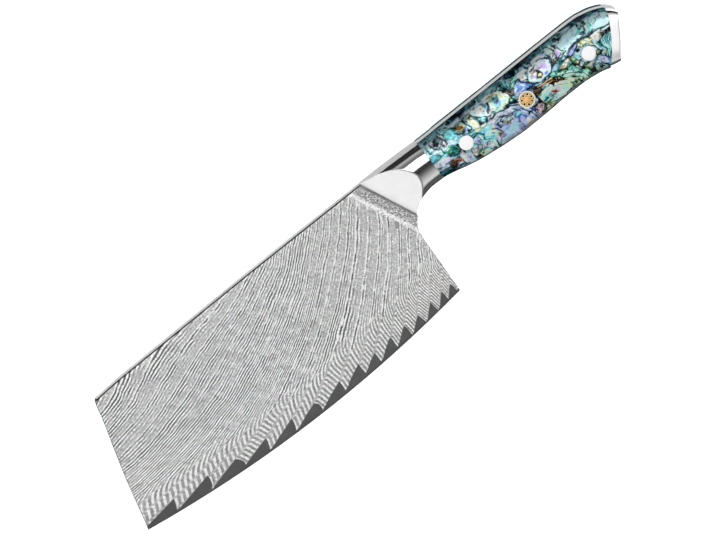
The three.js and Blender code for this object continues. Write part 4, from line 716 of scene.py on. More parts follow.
    ("b", "0 smoke .25 steel 1 ice 2 steel", [(109.6, .4), (114, .5), (120, .5), (125, .3), (130, -.3), (134, -2), (138, -3.2), (137.2, -6), (136, -8.4), (131, -7.7), (126, -6.5), (121, -5.6), (117, -5.8), (113.6, -6.5), (112, -5), (110.8, -3)]), ("l", "steel", .7, [(111, -1), (116, -1.2), (121, -1)]), ("l", "sky", .6, [(112.4, -3), (116, -2.8), (119.6, -2.9)]), ("l", "ice", .8, [(112.4, -4.2), (116, -4), (119, -4.4)]), ("e", 115, -4.6, 2.0, .7, 4, "0 ice 1 steel-"),
    ("e", 122.8, -2.9, 2.4, 1.5, -12, "0 spring .6 aqua 1 ice-"), ("e", 126.3, -3.5, 2.1, 2.7, 12, "0 white .6 ice 1 mint-"), ("l", "aqua", 1.0, [(127.6, -6), (128.8, -4.4), (129.2, -2.4)]), ("l", "ice", .5, [(128, -1.8), (129.6, -3.2), (130, -5)]), ("e", 131.6, -3.8, 1.4, 2.2, 8, "0 ice .6 steel 1 steel-"), ("e", 133.7, -3.2, 1.0, 1.6, 0, "0 lilac .4 lav .8 smoke 1 steel-"), ("e", 130.6, -6.4, 1.7, .8, -12, "0 mint .5 spring 1 mint-"), ("e", 134.8, -6.2, 1.3, 1.7, 0, "0 steel .6 steel 1 teal-"), ("l", "spring", .5, [(111.4, -3.8), (112.4, -5), (113.2, -6)]), ("e", 124, -5.4, 2.4, .6, -12, "0 teal .6 teal 1 teal-"),
    ("l", "deep", .65, [(108.6, -8.2), (111, -7.2), (114, -6.8), (117, -6.2), (119.4, -5.9), (122, -6.3), (126, -7.2), (130, -8.3), (135.6, -8.9)]), ("l", "white", .65, [(125.6, -8.3), (129, -8.8), (132, -9.3), (135.6, -9.7)]), ("l", "pearl", .3, [(111.3, -7.7), (112.8, -7.1), (114, -6.3)]),
    ("b", "0 navy .25 indigo .6 peri", [(112.6, -8.7), (115, -7.5), (117.8, -6.9), (118.6, -7.6), (116.6, -8.9), (114.6, -9.9), (112.8, -9.9)]), ("e", 114.6, -8.6, 1.0, .5, 20, "0 sky .6 peri 1 peri-"), ("l", "ink", .5, [(112.6, -10.2), (115.2, -9.5), (118, -8.3)]), ("e", 117.4, -9.9, 1.2, 1.3, 0, "0 plum .8 ink"), ("e", 109.7, -8.8, 1.0, .5, 25, "0 white .6 lav 1 lav-"), ("l", "ink", .5, [(108.2, -9.6), (109.8, -9.6), (111.2, -8.8)]),
    ("b", "0 moss .35 olive .9 lime 1.5 cream", [(118.8, -7.5), (121, -6.8), (124, -7.4), (125.8, -8.9), (125.2, -10.8), (124.8, -12.8), (123.4, -11.2), (121.6, -9.6), (119.3, -9.8)]), ("l", "moss", .45, [(119.8, -7.2), (120.6, -8.4), (120.4, -9.8)]), ("l", "moss", .45, [(122.2, -7.8), (123.8, -9.6), (125.8, -10.4)]), ("e", 123.8, -8.6, .8, .5, -30, "0 cream 1 lime-"), ("l", "cream", .4, [(123.6, -11.2), (124.8, -12.6), (125.4, -14.2)]),
    ("e", 127.3, -9.8, 1.7, .8, -5, "0 sand .5 pink 1 cream"), ("e", 127.5, -11.2, 1.1, .5, -5, "0 white .6 pink 1 brown"), ("e", 130.6, -9.9, 1.9, .6, -8, "0 lilac .6 smoke 1 plum-"), ("b", "0 ink .4 plum", [(129.6, -10.9), (132, -10.4), (134.9, -10.4), (133.9, -12.2), (131.8, -12.2)]),
    ("l", "moss", .7, [(122.4, -11.3), (124.5, -13.5), (125.2, -15.1), (126.2, -16.6)]), ("b", "0 ink .4 moss .8 olive", [(123.5, -15.4), (125, -15.2), (126.4, -16.6), (124.4, -17.2), (122.8, -17.2)]), ("l", "ink", .6, [(126.2, -16.8), (123.6, -17.3), (121.6, -18.2), (119.6, -18.4), (118, -17.4)]), ("e", 126.9, -13.6, 1.2, 2.1, 8, "0 teal .6 teal 1 deep-"), ("e", 127, -17, .9, 1.0, 0, "0 mint .6 steel 1 teal-"),
    # ---- comb of growth lines before the cap
    ("b", "0 ink .35 navy .8 deep", [(127.2, -13), (129.6, -11.7), (133.6, -12.2), (136, -10), (133, -17), (128, -22.6), (126.4, -21.6), (126, -19.6), (127.8, -18)]),
    ("l", "aqua", .5, [(133.9, -11.9), (130, -12.2), (128.6, -13.4), (128.4, -15.4), (128.8, -17.4), (128, -19), (126.8, -20.2)]), ("l", "ice", .42, [(134, -12.6), (130.8, -12.7), (129.5, -13.8), (129.3, -15.6), (129.6, -17.6), (128.9, -19.2), (127.6, -20.8)]), ("l", "cyan", .5, [(134, -13.3), (131.6, -13.2), (130.4, -14.2), (130.2, -15.9), (130.4, -17.8), (129.4, -19.6)]), ("l", "ice", .45, [(133.6, -13.9), (132.2, -13.8), (131.2, -14.8), (131, -16.4), (130.8, -18)]), ("l", "aqua", .6, [(133, -14.6), (132.2, -15), (131.7, -16.4)]), ("l", "white", .22, [(130.3, -12.5), (129, -13.6), (128.85, -15.5), (129.2, -17.3)]), ("l", "deep", .25, [(133, -12.3), (130.4, -12.45), (129.1, -13.5), (128.9, -15.5)]),
    # ---- lower rear
    ("b", "0 indigo .3 peri .9 lav", [(121.2, -18.7), (123.4, -18.5), (125.4, -19.3), (126.2, -21), (125.6, -23.8), (123.8, -22.6), (122.3, -20.8)]), ("e", 124.6, -20.6, .8, 1.4, -15, "0 indigo .3 peri 1 peri-"), ("e", 122, -19.3, .8, .5, -20, "0 pearl 1 lav-"), ("l", "navy", .6, [(125, -18.7), (126.2, -19.8), (126.9, -21.6)]),
    ("b", "0 moss .3 mint .8 steel", [(118.8, -21), (120.6, -21.4), (122.8, -22.6), (124.4, -24.4), (121.8, -24.6), (119, -23.8)]), ("l", "ink", .55, [(119, -20.2), (121.4, -21.2), (123.4, -22.6), (125, -24.6)]), ("l", "moss", .35, [(120.4, -21.8), (120.8, -23.2), (121.8, -24.2)]), ("l", "moss", .35, [(121.6, -22.4), (122.6, -23.6)]), ("e", 119, -18.9, 1.3, 1.0, 0, "0 sand .5 lilac 1 smoke-"), ("e", 118, -21.8, .9, 1.5, 0, "0 ink .6 ink 1 moss-"), ("e", 117.2, -18.2, 1.6, 1.1, -30, "0 lime .5 olive 1 moss-"),
    ("b", "0 deep .25 spring .8 mint", [(104, -12.2), (107, -13.6), (110, -13.3), (111.4, -15), (112.8, -17.6), (115, -19.4), (116.6, -21.6), (116.6, -24), (113.6, -23.6), (112, -21), (109, -19.1), (106, -17.5), (104.4, -15.3), (103.3, -13.6)]), ("e", 109.8, -15.2, 1.5, 1.5, -30, "0 aqua .6 aqua 1 mint-"), ("l", "white", .4, [(105, -13.6), (107.4, -14.9), (109.4, -16)]), ("l", "deep", .6, [(103.8, -13.6), (106.4, -15.3), (109, -16.9), (111.6, -18.3), (113.6, -20.5), (114.4, -23.4)]), ("l", "aqua", .6, [(110.8, -16.4), (112.4, -18.2), (114.4, -20)]), ("l", "ice", .5, [(107, -16.6), (109.6, -18.2), (112, -20.2)]),
    ("b", "0 moss .3 lime .8 mint", [(104.2, -16.4), (107, -18), (110, -19.8), (112.4, -21.8), (113, -23.8), (110.6, -23.6), (107.4, -22), (106, -19)]), ("l", "moss", .5, [(104, -15.6), (107, -17.7), (110, -20), (110.9, -22.6)]), ("l", "cream", .4, [(105, -16.9), (107.6, -18.6), (109.4, -20.4)]), ("e", 108.6, -21.4, 1.2, .9, -20, "0 sand .6 olive 1 olive-"), ("l", "moss", .9, [(109.6, -21), (110.4, -22), (110.6, -23.2)]), ("e", 112.6, -22.3, .8, .9, 0, "0 cream .6 lime 1 mint-"), ("l", "spring", .6, [(115.2, -19), (115.8, -21), (115.9, -23.4)]), ("l", "moss", .4, [(114.8, -17.6), (116.4, -20), (117, -22.4)]),
    ("b", "0 deep .25 spring .6 aqua", [(100, -11.1), (101.6, -10.3), (103.2, -11.2), (102.8, -12.8), (101, -12.7)]), ("l", "deep", .4, [(99.6, -10.6), (101.4, -11.6), (102.6, -13.2)]), ("e", 101.8, -14.1, 1.0, .6, -30, "0 lilac .4 plum 1 ink"), ("e", 102.8, -14.6, .5, .5, 0, "0 lime .6 lime 1 moss"), ("l", "ink", .45, [(102.4, -12.2), (105, -12.2), (107, -13.1), (109.2, -13.4), (111.2, -12.8)]),
    ("b", "0 umber .25 sand .6 cream", [(105.2, -11.4), (107.4, -10.8), (109.2, -10.1), (111.2, -9.6), (111.6, -10.8), (109.7, -12.1), (108.4, -12.9), (106.8, -12.3)]), ("l", "umber", .4, [(106.4, -12.1), (107.4, -11.3), (108.2, -11.8)]), ("l", "umber", .3, [(109, -10.6), (110, -11.6)]), ("e", 107, -11.3, .7, .4, 20, "0 rust 1 sand-"), ("e", 113, -11.8, 1.4, 1.0, 0, "0 lime .5 green 1 moss"), ("e", 112.6, -11.2, .5, .3, 0, "0 cream 1 lime-"), ("e", 115.2, -12.7, 1.3, 1.0, -20, "0 aqua .5 cyan 1 ink"), ("l", "white", .45, [(113.8, -14), (115, -13.6), (116.2, -13.8)]), ("l", "ink", .5, [(113.6, -13), (115, -14.3), (116.6, -14.5)]),
    ("e", 111.9, -14.1, .9, 1.4, 15, "0 ink .8 ink"), ("l", "ink", .6, [(113, -15.2), (114.4, -14.8), (116, -15.4), (116.4, -16.6)]), ("e", 114.3, -16.2, 1.1, 1.1, 0, "0 pink .4 lilac .7 smoke .9 ink"), ("l", "ice", .45, [(112.3, -15.2), (112.5, -16.2), (113.2, -17.4)]), ("b", "0 ink .4 moss", [(115, -17), (117, -16.5), (118.4, -17), (116.8, -17.9)]),
]


def lattice_noise(x, y, seed):
    """Smooth noise in 0..1 on a unit lattice."""
    ix, iy = np.floor(x), np.floor(y)
    fx, fy = x - ix, y - iy
    sx, sy = fx * fx * fx * (fx * (fx * 6 - 15) + 10), fy * fy * fy * (fy * (fy * 6 - 15) + 10)

    def corner(dx, dy):
        n = ((ix + dx).astype(np.int64) * 374761393 + (iy + dy).astype(np.int64) * 668265263 + seed * 974634777) & 0xFFFFFFFF
        n = ((n ^ (n >> 13)) * 1274126177) & 0xFFFFFFFF
        return ((n ^ (n >> 16)) & 0xFFFF) / 65535.0
    low = corner(0, 0) * (1 - sx) + corner(1, 0) * sx
    high = corner(0, 1) * (1 - sx) + corner(1, 1) * sx
    return low * (1 - sy) + high * sy


def smooth_curve(points, closed, per=6):
    """Rounded curve through the points."""
    p = np.asarray(points, float)
    if len(p) < 3:
        return p
    p = np.concatenate([p[-1:], p, p[:2]]) if closed else np.concatenate([2 * p[:1] - p[1:2], p, 2 * p[-1:] - p[-2:-1]])
    t = (np.arange(per) / per)[:, None]
    out = []
    for a, b, c, d in zip(p[:-3], p[1:-2], p[2:-1], p[3:]):
        out.append(0.5 * (2 * b + (c - a) * t + (2 * a - 5 * b + 4 * c - d) * t ** 2 + (3 * b - a - 3 * c + d) * t ** 3))
    if not closed:
        out.append(p[-2:-1])
    return np.concatenate(out)


def curve_distance(x, y, line, closed):
    """Distance of points from a curve, and whether they lie inside it."""
    best = np.full(x.shape, 1e9)
    inside = np.zeros(x.shape, bool)
    ends = np.roll(line, -1, axis=0)
    for (ax, ay), (bx, by) in zip(line[:None if closed else -1], ends[:None if closed else -1]):
        dx, dy = bx - ax, by - ay
        t = np.clip(((x - ax) * dx + (y - ay) * dy) / (dx * dx + dy * dy + 1e-12), 0, 1)
        best = np.minimum(best, (x - ax - t * dx) ** 2 + (y - ay - t * dy) ** 2)
        if closed:
            inside ^= ((ay > y) != (by > y)) & (x < dx * (y - ay) / (dy + (1e-12 if dy == 0 else 0)) + ax)
    return np.sqrt(best), inside


def tones(text):
    """Positions, linear colours and opacities named in a figure."""
    word = text.split()
    pos = np.array([float(v) for v in word[::2]])
    col = np.array([srgb(*NACRE[w.rstrip("-")])[:3] for w in word[1::2]])
    return pos, col, np.array([0.0 if w.endswith("-") else 1.0 for w in word[1::2]])


def nacre_paint(x, y):
    """Linear colour of the shell at points of the side face."""
    w = [lattice_noise(x * 0.24 + k, y * 0.24 - k, 11 + k) - 0.5 for k in range(2)]
    f = [lattice_noise(x * 0.85 + k, y * 0.85 - k, 31 + k) - 0.5 for k in range(2)]
    u, v = x + 0.9 * w[0] + 0.55 * f[0], y + 0.9 * w[1] + 0.55 * f[1]
    a, b = x + 9 * w[0], y + 9 * w[1]
    hue = 0.6 * lattice_noise(a * 0.15, b * 0.19, 5) + 0.4 * lattice_noise(a * 0.33, b * 0.40, 6)
    pos, col, _ = tones("0 ink .3 deep .38 teal .46 steel .52 deep .57 steel .63 moss .68 cyan .76 lav 1 mint")
    out = np.stack([np.interp(hue, pos, col[:, c]) for c in range(3)], -1)
    for kind, *fig in FIGURES:
        if kind == "e":
            ex, ey, ea, eb, turn, text = fig
            reach = max(ea, eb) + 0.3
            near = np.flatnonzero((np.abs(u - ex) < reach) & (np.abs(v - ey) < reach))
            if not len(near):
                continue
            c, s = math.cos(math.radians(turn)), math.sin(math.radians(turn))
            du, dv = u[near] - ex, v[near] - ey
            r = np.hypot((du * c + dv * s) / ea, (dv * c - du * s) / eb)
            pos, col, op = tones(text)
            edge = 0.32 / min(ea, eb)
            cover = np.clip((pos[-1] + edge - r) / (2 * edge), 0, 1) * np.interp(r, pos, op)
            shade = 1.0
        else:
            text, points = (fig[0], fig[1]) if kind == "b" else ("0 " + fig[0], fig[2])
            line = smooth_curve(points, kind == "b")
            reach = 0.5 if kind == "b" else fig[1]
            near = np.flatnonzero((u > line[:, 0].min() - reach) & (u < line[:, 0].max() + reach) & (v > line[:, 1].min() - reach) & (v < line[:, 1].max() + reach))
            if not len(near):
                continue
            dist, inside = curve_distance(u[near], v[near], line, kind == "b")
            pos, col, op = tones(text)
            if kind == "b":
                r = np.where(inside, dist, -dist)
                cover = np.clip(0.5 + r / 0.80, 0, 1)
                cover = cover * cover * (3 - 2 * cover)
                shade = 1.0 + 0.16 * np.sin(r * 9.5 + 2 * f[0][near] * 6)[:, None]      # growth lines along the outline
                part = np.clip((lattice_noise(u[near] * 0.55, v[near] * 0.55, 17) - 0.35) / 0.2, 0, 1)
            else:
                half = fig[1] / 2 * (0.75 + 0.8 * lattice_noise(u[near] * 0.7, v[near] * 0.7, 3) * 0.6)
                r = dist
                cover = 0.92 * np.clip(0.5 + (half - dist) / 0.36, 0, 1)
                shade = 1.0
        tint = np.stack([np.interp(r, pos, col[:, c]) for c in range(3)], -1) * shade
        if kind == "b":      # light rim inside the outline
            tint += (1 - tint) * (0.14 * part * np.exp(-((r - 0.62) / 0.26) ** 2))[:, None]
        out[near] += (tint - out[near]) * cover[:, None]
        if kind == "b":      # dark resin in the joint
            out[near] *= (1 - 0.28 * (1 - part) * np.exp(-((r + 0.02) / 0.22) ** 2))[:, None]
    # streaks and clouds of light and dark, play of colour, fine growth lines
    a, b = u + 3.0 * w[1] + 1.2 * f[1], v + 3.0 * w[0] + 1.2 * f[0]
    lum = 1 + 1.55 * (lattice_noise(a * 0.30, b * 0.50, 61) - 0.5) + 0.95 * (lattice_noise(a * 1.1, b * 1.6, 62) - 0.5) + 0.40 * (lattice_noise(x * 2.6, y * 3.0, 63) - 0.5)
    hues = np.stack([lattice_noise(a * 0.7 + 3 * c, b * 0.9, 50 + c) for c in range(3)], -1) - 0.5
    field = lattice_noise(a * 0.20, b * 0.28, 71) * 9.0 + lattice_noise(a * 0.5, b * 0.6, 72) * 1.5
    line = np.clip(1 - np.abs(field - np.round(field)) / 0.10, 0, 1) * np.clip((lattice_noise(x * 0.16, y * 0.22, 73) - 0.42) / 0.2, 0, 1)
    crest = np.clip(1 - np.abs(field - np.round(field) - 0.20) / 0.12, 0, 1) * np.clip((lattice_noise(x * 0.19, y * 0.25, 74) - 0.45) / 0.2, 0, 1)
    out = 1.80 * out * (lum * (1 - 0.55 * line))[:, None] * (1 + 0.15 * hues) * np.array([0.95, 1.03, 1.01])
    out += (0.9 - out) * (0.30 * crest * (1 - line))[:, None]
    out += 0.13 * (out.mean(-1, keepdims=True) - out)
    out = np.maximum(out - 0.064, 0.0)
    peak = 0.6 * out.max(-1, keepdims=True) + 0.4 * out
    return np.clip(out / (1 + peak ** 5) ** 0.2, 0.0, 0.98)


def paint_scale(ob, edge, flip=False):
    """Lays the shell figures on a scale as its colour attribute, seen square to the side face, with painted shade over
    the top edge and a painted shadow line along the lower edge.
    """
    me = ob.data
    co = np.empty(len(me.vertices) * 3, np.float32)
    me.vertices.foreach_get("co", co)
    x, y, z = (co.reshape(-1, 3) * 1000.0).astype(float).T
    z = np.abs(z)
    across = y + (9.4 - z) * 0.3058
    col = nacre_paint(173.0 - x if flip else x, across)
    # painted shade: dark tones where the shell turns over the top edge, darker still towards the tang, and a painted
    # shadow line along the lower edge
    wander = lattice_noise(x * 0.16, y * 0.1, 81) - 0.5
    top = np.clip((7.4 + 0.9 * wander - z) / 1.1, 0, 1) * np.clip((y + 9.0) / 4.0, 0, 1)
    top = (top * top * (3 - 2 * top))[:, None]
    pos, tone, _ = tones("0 ink .34 ink .42 navy .48 deep .53 teal .58 ink .64 deep .70 steel .76 moss .84 teal 1 steel")
    hue = 0.65 * lattice_noise(x * 0.11 + 7, y * 0.05, 82) + 0.35 * lattice_noise(x * 0.35, z * 0.5, 83)
    dark = np.stack([np.interp(hue, pos, tone[:, c]) for c in range(3)], -1) * np.clip((z - 2.0) / 4.5, 0.12, 1)[:, None]
    col += (dark - col) * 0.96 * top
    # painted shadow: dark line along the lower edge
    low = np.clip((8.2 - z + 0.8 * wander) / 1.3, 0, 1) * np.clip((-14.0 - y) / 4.0, 0, 1)
    col *= (1 - 0.88 * low)[:, None]
    layer = me.color_attributes.new("nacre_and_edge_shade", "FLOAT_COLOR", "POINT")
    layer.data.foreach_set("color", np.concatenate([col, np.ones((len(col), 1))], 1).astype(np.float32).ravel())
    mid = np.empty(len(me.polygons) * 3, np.float32)
    me.polygons.foreach_get("center", mid)
    _, my, mz = mid.reshape(-1, 3).T * 1000.0
    me.materials.append(edge)
    me.polygons.foreach_set("material_index", ((np.abs(mz) < 6.5) & ((my > -9.0) | (my < -14.0))).astype(np.int32))


def shell(name):
    """Polished abalone laid up in clear resin: the figures, fine growth lines and pearly depth under a clear gloss."""
    m = Mat(name)
    p = m.knife_mm()
    figures = m.add("ShaderNodeAttribute", attribute_type="GEOMETRY", attribute_name="nacre_and_edge_shade").outputs["Color"]
    warp = m.vec("SUBTRACT", m.noise(p, 0.35, 2, 0.5, True), (0.5, 0.5, 0.5))
    pw = m.vec("ADD", p, m.vec("SCALE", warp, s=3.0))
    fine = m.noise(m.vec("MULTIPLY", pw, (1.6, 3.4, 1.0)), 1.0, 3, 0.6)
    layers = m.math("FRACT", m.math("MULTIPLY", m.noise(pw, 0.22, 1, 0.5), 14.0))
    edge = m.step(m.math("ABSOLUTE", m.math("SUBTRACT", layers, 0.5)), 0.36, 0.48)
    shade = m.math("SUBTRACT", m.math("MULTIPLY_ADD", fine, 0.7, 0.67), m.math("MULTIPLY", edge, 0.12))
    colour = m.mix(1.0, figures, m.add("ShaderNodeCombineColor", {0: shade, 1: shade, 2: shade}).outputs[0], "MULTIPLY")
    rough = m.step(fine, 0.3, 0.7, 0.42, 0.30)
    return m.finish(colour, rough, 0.45, m.bump(m.math("ADD", fine, m.math("MULTIPLY", edge, 0.4)), 0.05, 0.0003), coat=0.3, coat_rough=0.04, spec=0.10)


def shell_edge(name):
    """The same shell where it is rounded over towards the tang: unpolished."""
    m = Mat(name)
    p = m.knife_mm()
    figures = m.add("ShaderNodeAttribute", attribute_type="GEOMETRY", attribute_name="nacre_and_edge_shade").outputs["Color"]
    n = m.noise(p, 1.3, 3, 0.6)
    shade = m.math("MULTIPLY_ADD", n, 0.8, 0.6)
    colour = m.mix(1.0, figures, m.add("ShaderNodeCombineColor", {0: shade, 1: shade, 2: shade}).outputs[0], "MULTIPLY")
    return m.finish(colour, m.math("MULTIPLY_ADD", n, 0.2, 0.55), 0.0, m.bump(n, 0.05, 0.0002), spec=0.0)


DAMASCUS = damascus("damascus_steel")
CORE = core_steel("core_steel")
SPINE_STEEL = ground_steel("spine_ground", 252, 240, 0.48, metal=0.35)
TIP_STEEL = ground_steel("tip_edge_ground", 150, 118, 0.42, metal=0.6)
# painted shade: near-black steel on the chamfer below the ground spine, drawn as a dark line
CHAMFER_PAINTED_SHADE = ground_steel("chamfer_painted_shade", 20, 10, 0.45, metal=0.6)
BOLSTER_STEEL = ground_steel("bolster_polished", 240, 226, 0.06, scratch=0.04)
TANG_STEEL = ground_steel("tang_satin", 180, 156, 0.36, metal=0.8)
# satin steel of the top walls, also used as a painted shade line along the bolster's crease
TOP_SATIN_AND_CREASE_SHADE = ground_steel("handle_top_satin_and_crease_shade", 164, 146, 0.34, metal=0.8)
CAP_STEEL = ground_steel("cap_polished", 255, 251, 0.40, scratch=0.06)
RIVET_STEEL = turned_metal("rivet_steel", grey(255), grey(251), 0.34)
BRASS = turned_metal("pin_brass", srgb(255, 246, 214), srgb(255, 236, 188), 0.30)
PALE_BRASS = turned_metal("pin_brass_pale", srgb(255, 253, 244), srgb(255, 248, 230), 0.30)
GOLD_FILL = turned_metal("pin_gold_fill", srgb(240, 198, 122), srgb(196, 150, 76), 0.34)
COPPER = turned_metal("pin_copper", srgb(255, 206, 150), srgb(232, 158, 92), 0.30)
BLACK_RESIN = resin("black_resin", srgb(5, 5, 6), srgb(16, 15, 15), 0.35, spec=0.1)
EPOXY = resin("epoxy", srgb(24, 28, 32), srgb(44, 50, 56), 0.4)
SHELL_LEFT = shell("abalone_left")
SHELL_RIGHT = shell("abalone_right")
SHELL_EDGE = shell_edge("abalone_edge")


# ------------------------------------------------------------------ blade
def resample(points, step):
    out = [points[0]]
    for a, b in zip(points[:-1], points[1:]):
        n = max(1, int(math.ceil(math.hypot(b[0] - a[0], b[1] - a[1]) / step)))
        out += [(a[0] + (b[0] - a[0]) * i / n, a[1] + (b[1] - a[1]) * i / n) for i in range(1, n + 1)]
    return out


def offset(points, dist):
    """Open line moved to its left."""
    out = []
    for i, (x, y) in enumerate(points):
        nx = ny = 0.0
        for a, b in ((i - 1, i), (i, i + 1)):
            if a < 0 or b >= len(points):
                continue
            dx, dy = points[b][0] - points[a][0], points[b][1] - points[a][1]
            l = math.hypot(dx, dy)
            nx, ny = nx - dy / l, ny + dx / l
        l = math.hypot(nx, ny)
        out.append((x + nx / l * dist, y + ny / l * dist))
    return out


def meet(line, a, b):
    """Where the segment a-b crosses a polyline, and the polyline's index before it."""
    for i, (p, q) in enumerate(zip(line[:-1], line[1:])):
        rx, ry, sx, sy = q[0] - p[0], q[1] - p[1], b[0] - a[0], b[1] - a[1]
        den = rx * sy - ry * sx
        if abs(den) < 1e-12:
            continue
        t = ((a[0] - p[0]) * sy - (a[1] - p[1]) * sx) / den
        u = ((a[0] - p[0]) * ry - (a[1] - p[1]) * rx) / den
        if 0 <= t <= 1 and 0 <= u <= 1:
            return (p[0] + t * rx, p[1] + t * ry), i
    return None, None


clad_line = offset(CORE_LINE, GAP)
tip_start, i0 = meet(clad_line, (-171.5, -66.3), TIP_LINE[0])
heel_start, i1 = meet(clad_line, HEEL[0], HEEL[1])
teeth = [tip_start] + clad_line[i0 + 1:i1 + 1] + [heel_start]
spine_y = pchip([-151.9] + [x for x, _ in SPINE] + [1.45], [0.35] + [y for _, y in SPINE] + [2.55])
spine_pts = [(float(x), float(spine_y(x))) for x in np.linspace(-151.9, 1.33, 110)]
tip_y = [p[1] for p in TIP_LINE]
tip_f = pchip([tip_start[1]] + tip_y, [tip_start[0]] + [p[0] for p in TIP_LINE])
tip_pts = [(float(tip_f(v)), float(v)) for v in np.linspace(tip_start[1], 0.35, 46)]
back_chain = tip_pts + spine_pts[1:]                           # tip corner, up the end, along the spine to the weld
weld_pts = resample([(WELD_TOP[0] - NX * GAP - WX * 0.25, WELD_TOP[1] - NY * GAP - WY * 0.25), (WELD_LOW[0] - NX * GAP, WELD_LOW[1] - NY * GAP)], 1.0)
heel_pts = resample([(12.6, -28.6), (11.2, -30.8), (10.4, -33.2), (10.0, -37.0), heel_start], 1.5)
# the chamfer from LINE_OUT to LINE_IN carries the dark line of painted shade
LINE_IN, LINE_OUT, TIP_BEVEL = 1.24, 0.60, 0.30   # dark line below the ground spine, bevel of the tip end
FILLET = 5.3


def blade_half(x, y):
    """Half-thickness of the ground wedge, with the small fillet towards the bolster."""
    e = edge_y(x)
    low = 0.28 + (0.50 - 0.28) * (y - (e + 1.0)) / (-61.0 - (e + 1.0))
    high = 0.50 + (1.12 - 0.50) * (y + 61.0) / 65.0
    h = low if y < -61.0 else high
    q = weld_q(x, y)
    if q > -FILLET and y > -40:
        h += 0.12 * ((q + FILLET) / FILLET) ** 2
    return h


def rim_drop(x, y):
    """How far the face falls towards the spine and towards the tip end."""
    spine = np.interp(float(spine_y(x)) - y, [0.0, LINE_OUT, LINE_IN], [0.42, 0.14, 0.0])
    tip = np.interp(x - float(tip_f(y)), [0.0, TIP_BEVEL], [0.22, 0.0]) if y < 0.35 else 0.0
    return max(spine, tip)


def cladding(name, side, node):
    chain = [tuple(p) for p in back_chain]
    chain[-1] = weld_pts[0]
    loop = chain + weld_pts[1:] + heel_pts[:-1] + list(reversed(teeth[1:]))
    pts, edges = [], []
    pts += loop
    n = len(loop)
    edges += [(i, (i + 1) % n) for i in range(n)]
    n_chain = len(chain)
    # lines below the spine and beside the tip end
    for row in ([(x, float(spine_y(x)) - LINE_OUT) for x in np.linspace(-151.2, 1.3, 120)],
                [(x, float(spine_y(x)) - LINE_IN) for x in np.linspace(-151.2, 1.3, 120)],
                [(float(tip_f(v)) + TIP_BEVEL, float(v)) for v in np.linspace(tip_start[1] + 0.4, -0.9, 44)]):
        row = [p for p in row if weld_q(p[0], p[1]) < -0.3]
        b = len(pts)
        pts += row
        edges += [(b + i, b + i + 1) for i in range(len(row) - 1)]
    # start of the fillet
    line = resample([(WELD_TOP[0] - NX * FILLET - WX * -0.6, WELD_TOP[1] - NY * FILLET - WY * -0.6),
                     (WELD_LOW[0] - NX * FILLET - WX * -3.2, WELD_LOW[1] - NY * FILLET - WY * -3.2)], 1.0)
    line = [p for p in line if p[1] < 1.4 and p[0] < 10.5]
    b = len(pts)
    pts += line
    edges += [(b + i, b + i + 1) for i in range(len(line) - 1)]
    for k in range(1, 6):
        q = -FILLET * (1 - k / 6)
        row = resample([(WELD_TOP[0] + NX * q + WX * 0.9, WELD_TOP[1] + NY * q + WY * 0.9), (WELD_LOW[0] + NX * q, WELD_LOW[1] + NY * q)], 1.0)
        pts += [p for p in row if p[1] < 1.5]
    # inside points
    loop_np = np.array(loop)
    gx, gy = np.meshgrid(np.arange(-170, 9, 2.2), np.arange(-70, 1.2, 2.2))
    cand = np.stack([gx.ravel() + (np.round(gy.ravel() / 2.2) % 2) * 1.1, gy.ravel()], -1)
    inside = np.zeros(len(cand), bool)
    j = n - 1
    for i in range(n):
        xi_, yi_, xj_, yj_ = *loop_np[i], *loop_np[j]
        cross = ((yi_ > cand[:, 1]) != (yj_ > cand[:, 1])) & (cand[:, 0] < (xj_ - xi_) * (cand[:, 1] - yi_) / (yj_ - yi_ + 1e-12) + xi_)
        inside ^= cross
        j = i
    cand = cand[inside]
    far = np.min(np.hypot(cand[:, None, 0] - loop_np[None, :, 0], cand[:, None, 1] - loop_np[None, :, 1]), axis=1) > 1.1
    cand = cand[far & (weld_q(cand[:, 0], cand[:, 1]) < -FILLET - 0.6)]
    pts += [tuple(map(float, c)) for c in cand]
    v2, _, f2, ov, _, _ = delaunay_2d_cdt([Vector(p) for p in pts], edges, [list(range(n))], 1, 1e-5)
    origin = {}
    for i, srcs in enumerate(ov):
        for s in srcs:
            origin[s] = i
    rim = [origin[i] for i in range(n)]
    top, bot = [], []
    for i, p in enumerate(v2):
        z = blade_half(p[0], p[1]) - rim_drop(p[0], p[1])
        top.append((p[0], p[1], max(z, CORE_HALF + GAP + 0.05)))
        bot.append((p[0], p[1], CORE_HALF + GAP))
    m = len(v2)
    verts = top + bot
    faces, mats = [], []
    for f in f2:
        a, b_, c = (Vector((v2[i][0], v2[i][1])) for i in f)
        f = list(f)
        if (b_ - a).cross(c - a) < 0:
            f.reverse()
        mx, my = (a[0] + b_[0] + c[0]) / 3, (a[1] + b_[1] + c[1]) / 3
        under = float(spine_y(mx)) - my
        faces.append(tuple(f))
        # index 2, the chamfer below the spine, carries the painted shade
        mats.append(1 if under < LINE_OUT else 2 if under < LINE_IN else 3 if mx - float(tip_f(my)) < TIP_BEVEL else 0)
        faces.append(tuple(i + m for i in reversed(f)))
        mats.append(1)
    area = sum(loop[i][0] * loop[(i + 1) % n][1] - loop[(i + 1) % n][0] * loop[i][1] for i in range(n))
    for i in range(n):
        a, b_ = rim[i], rim[(i + 1) % n]
        faces.append((a, a + m, b_ + m, b_) if area > 0 else (b_, b_ + m, a + m, a))
        mats.append(1 if i < n_chain else 0)
    if side < 0:
        verts = [(x, y, -z) for x, y, z in verts]
        faces = [tuple(reversed(f)) for f in faces]
    return add_piece(name, verts, faces, [DAMASCUS, SPINE_STEEL, CHAMFER_PAINTED_SHADE, TIP_STEEL], [node], "damascus_steel", sharp=20.0, face_mat=mats)


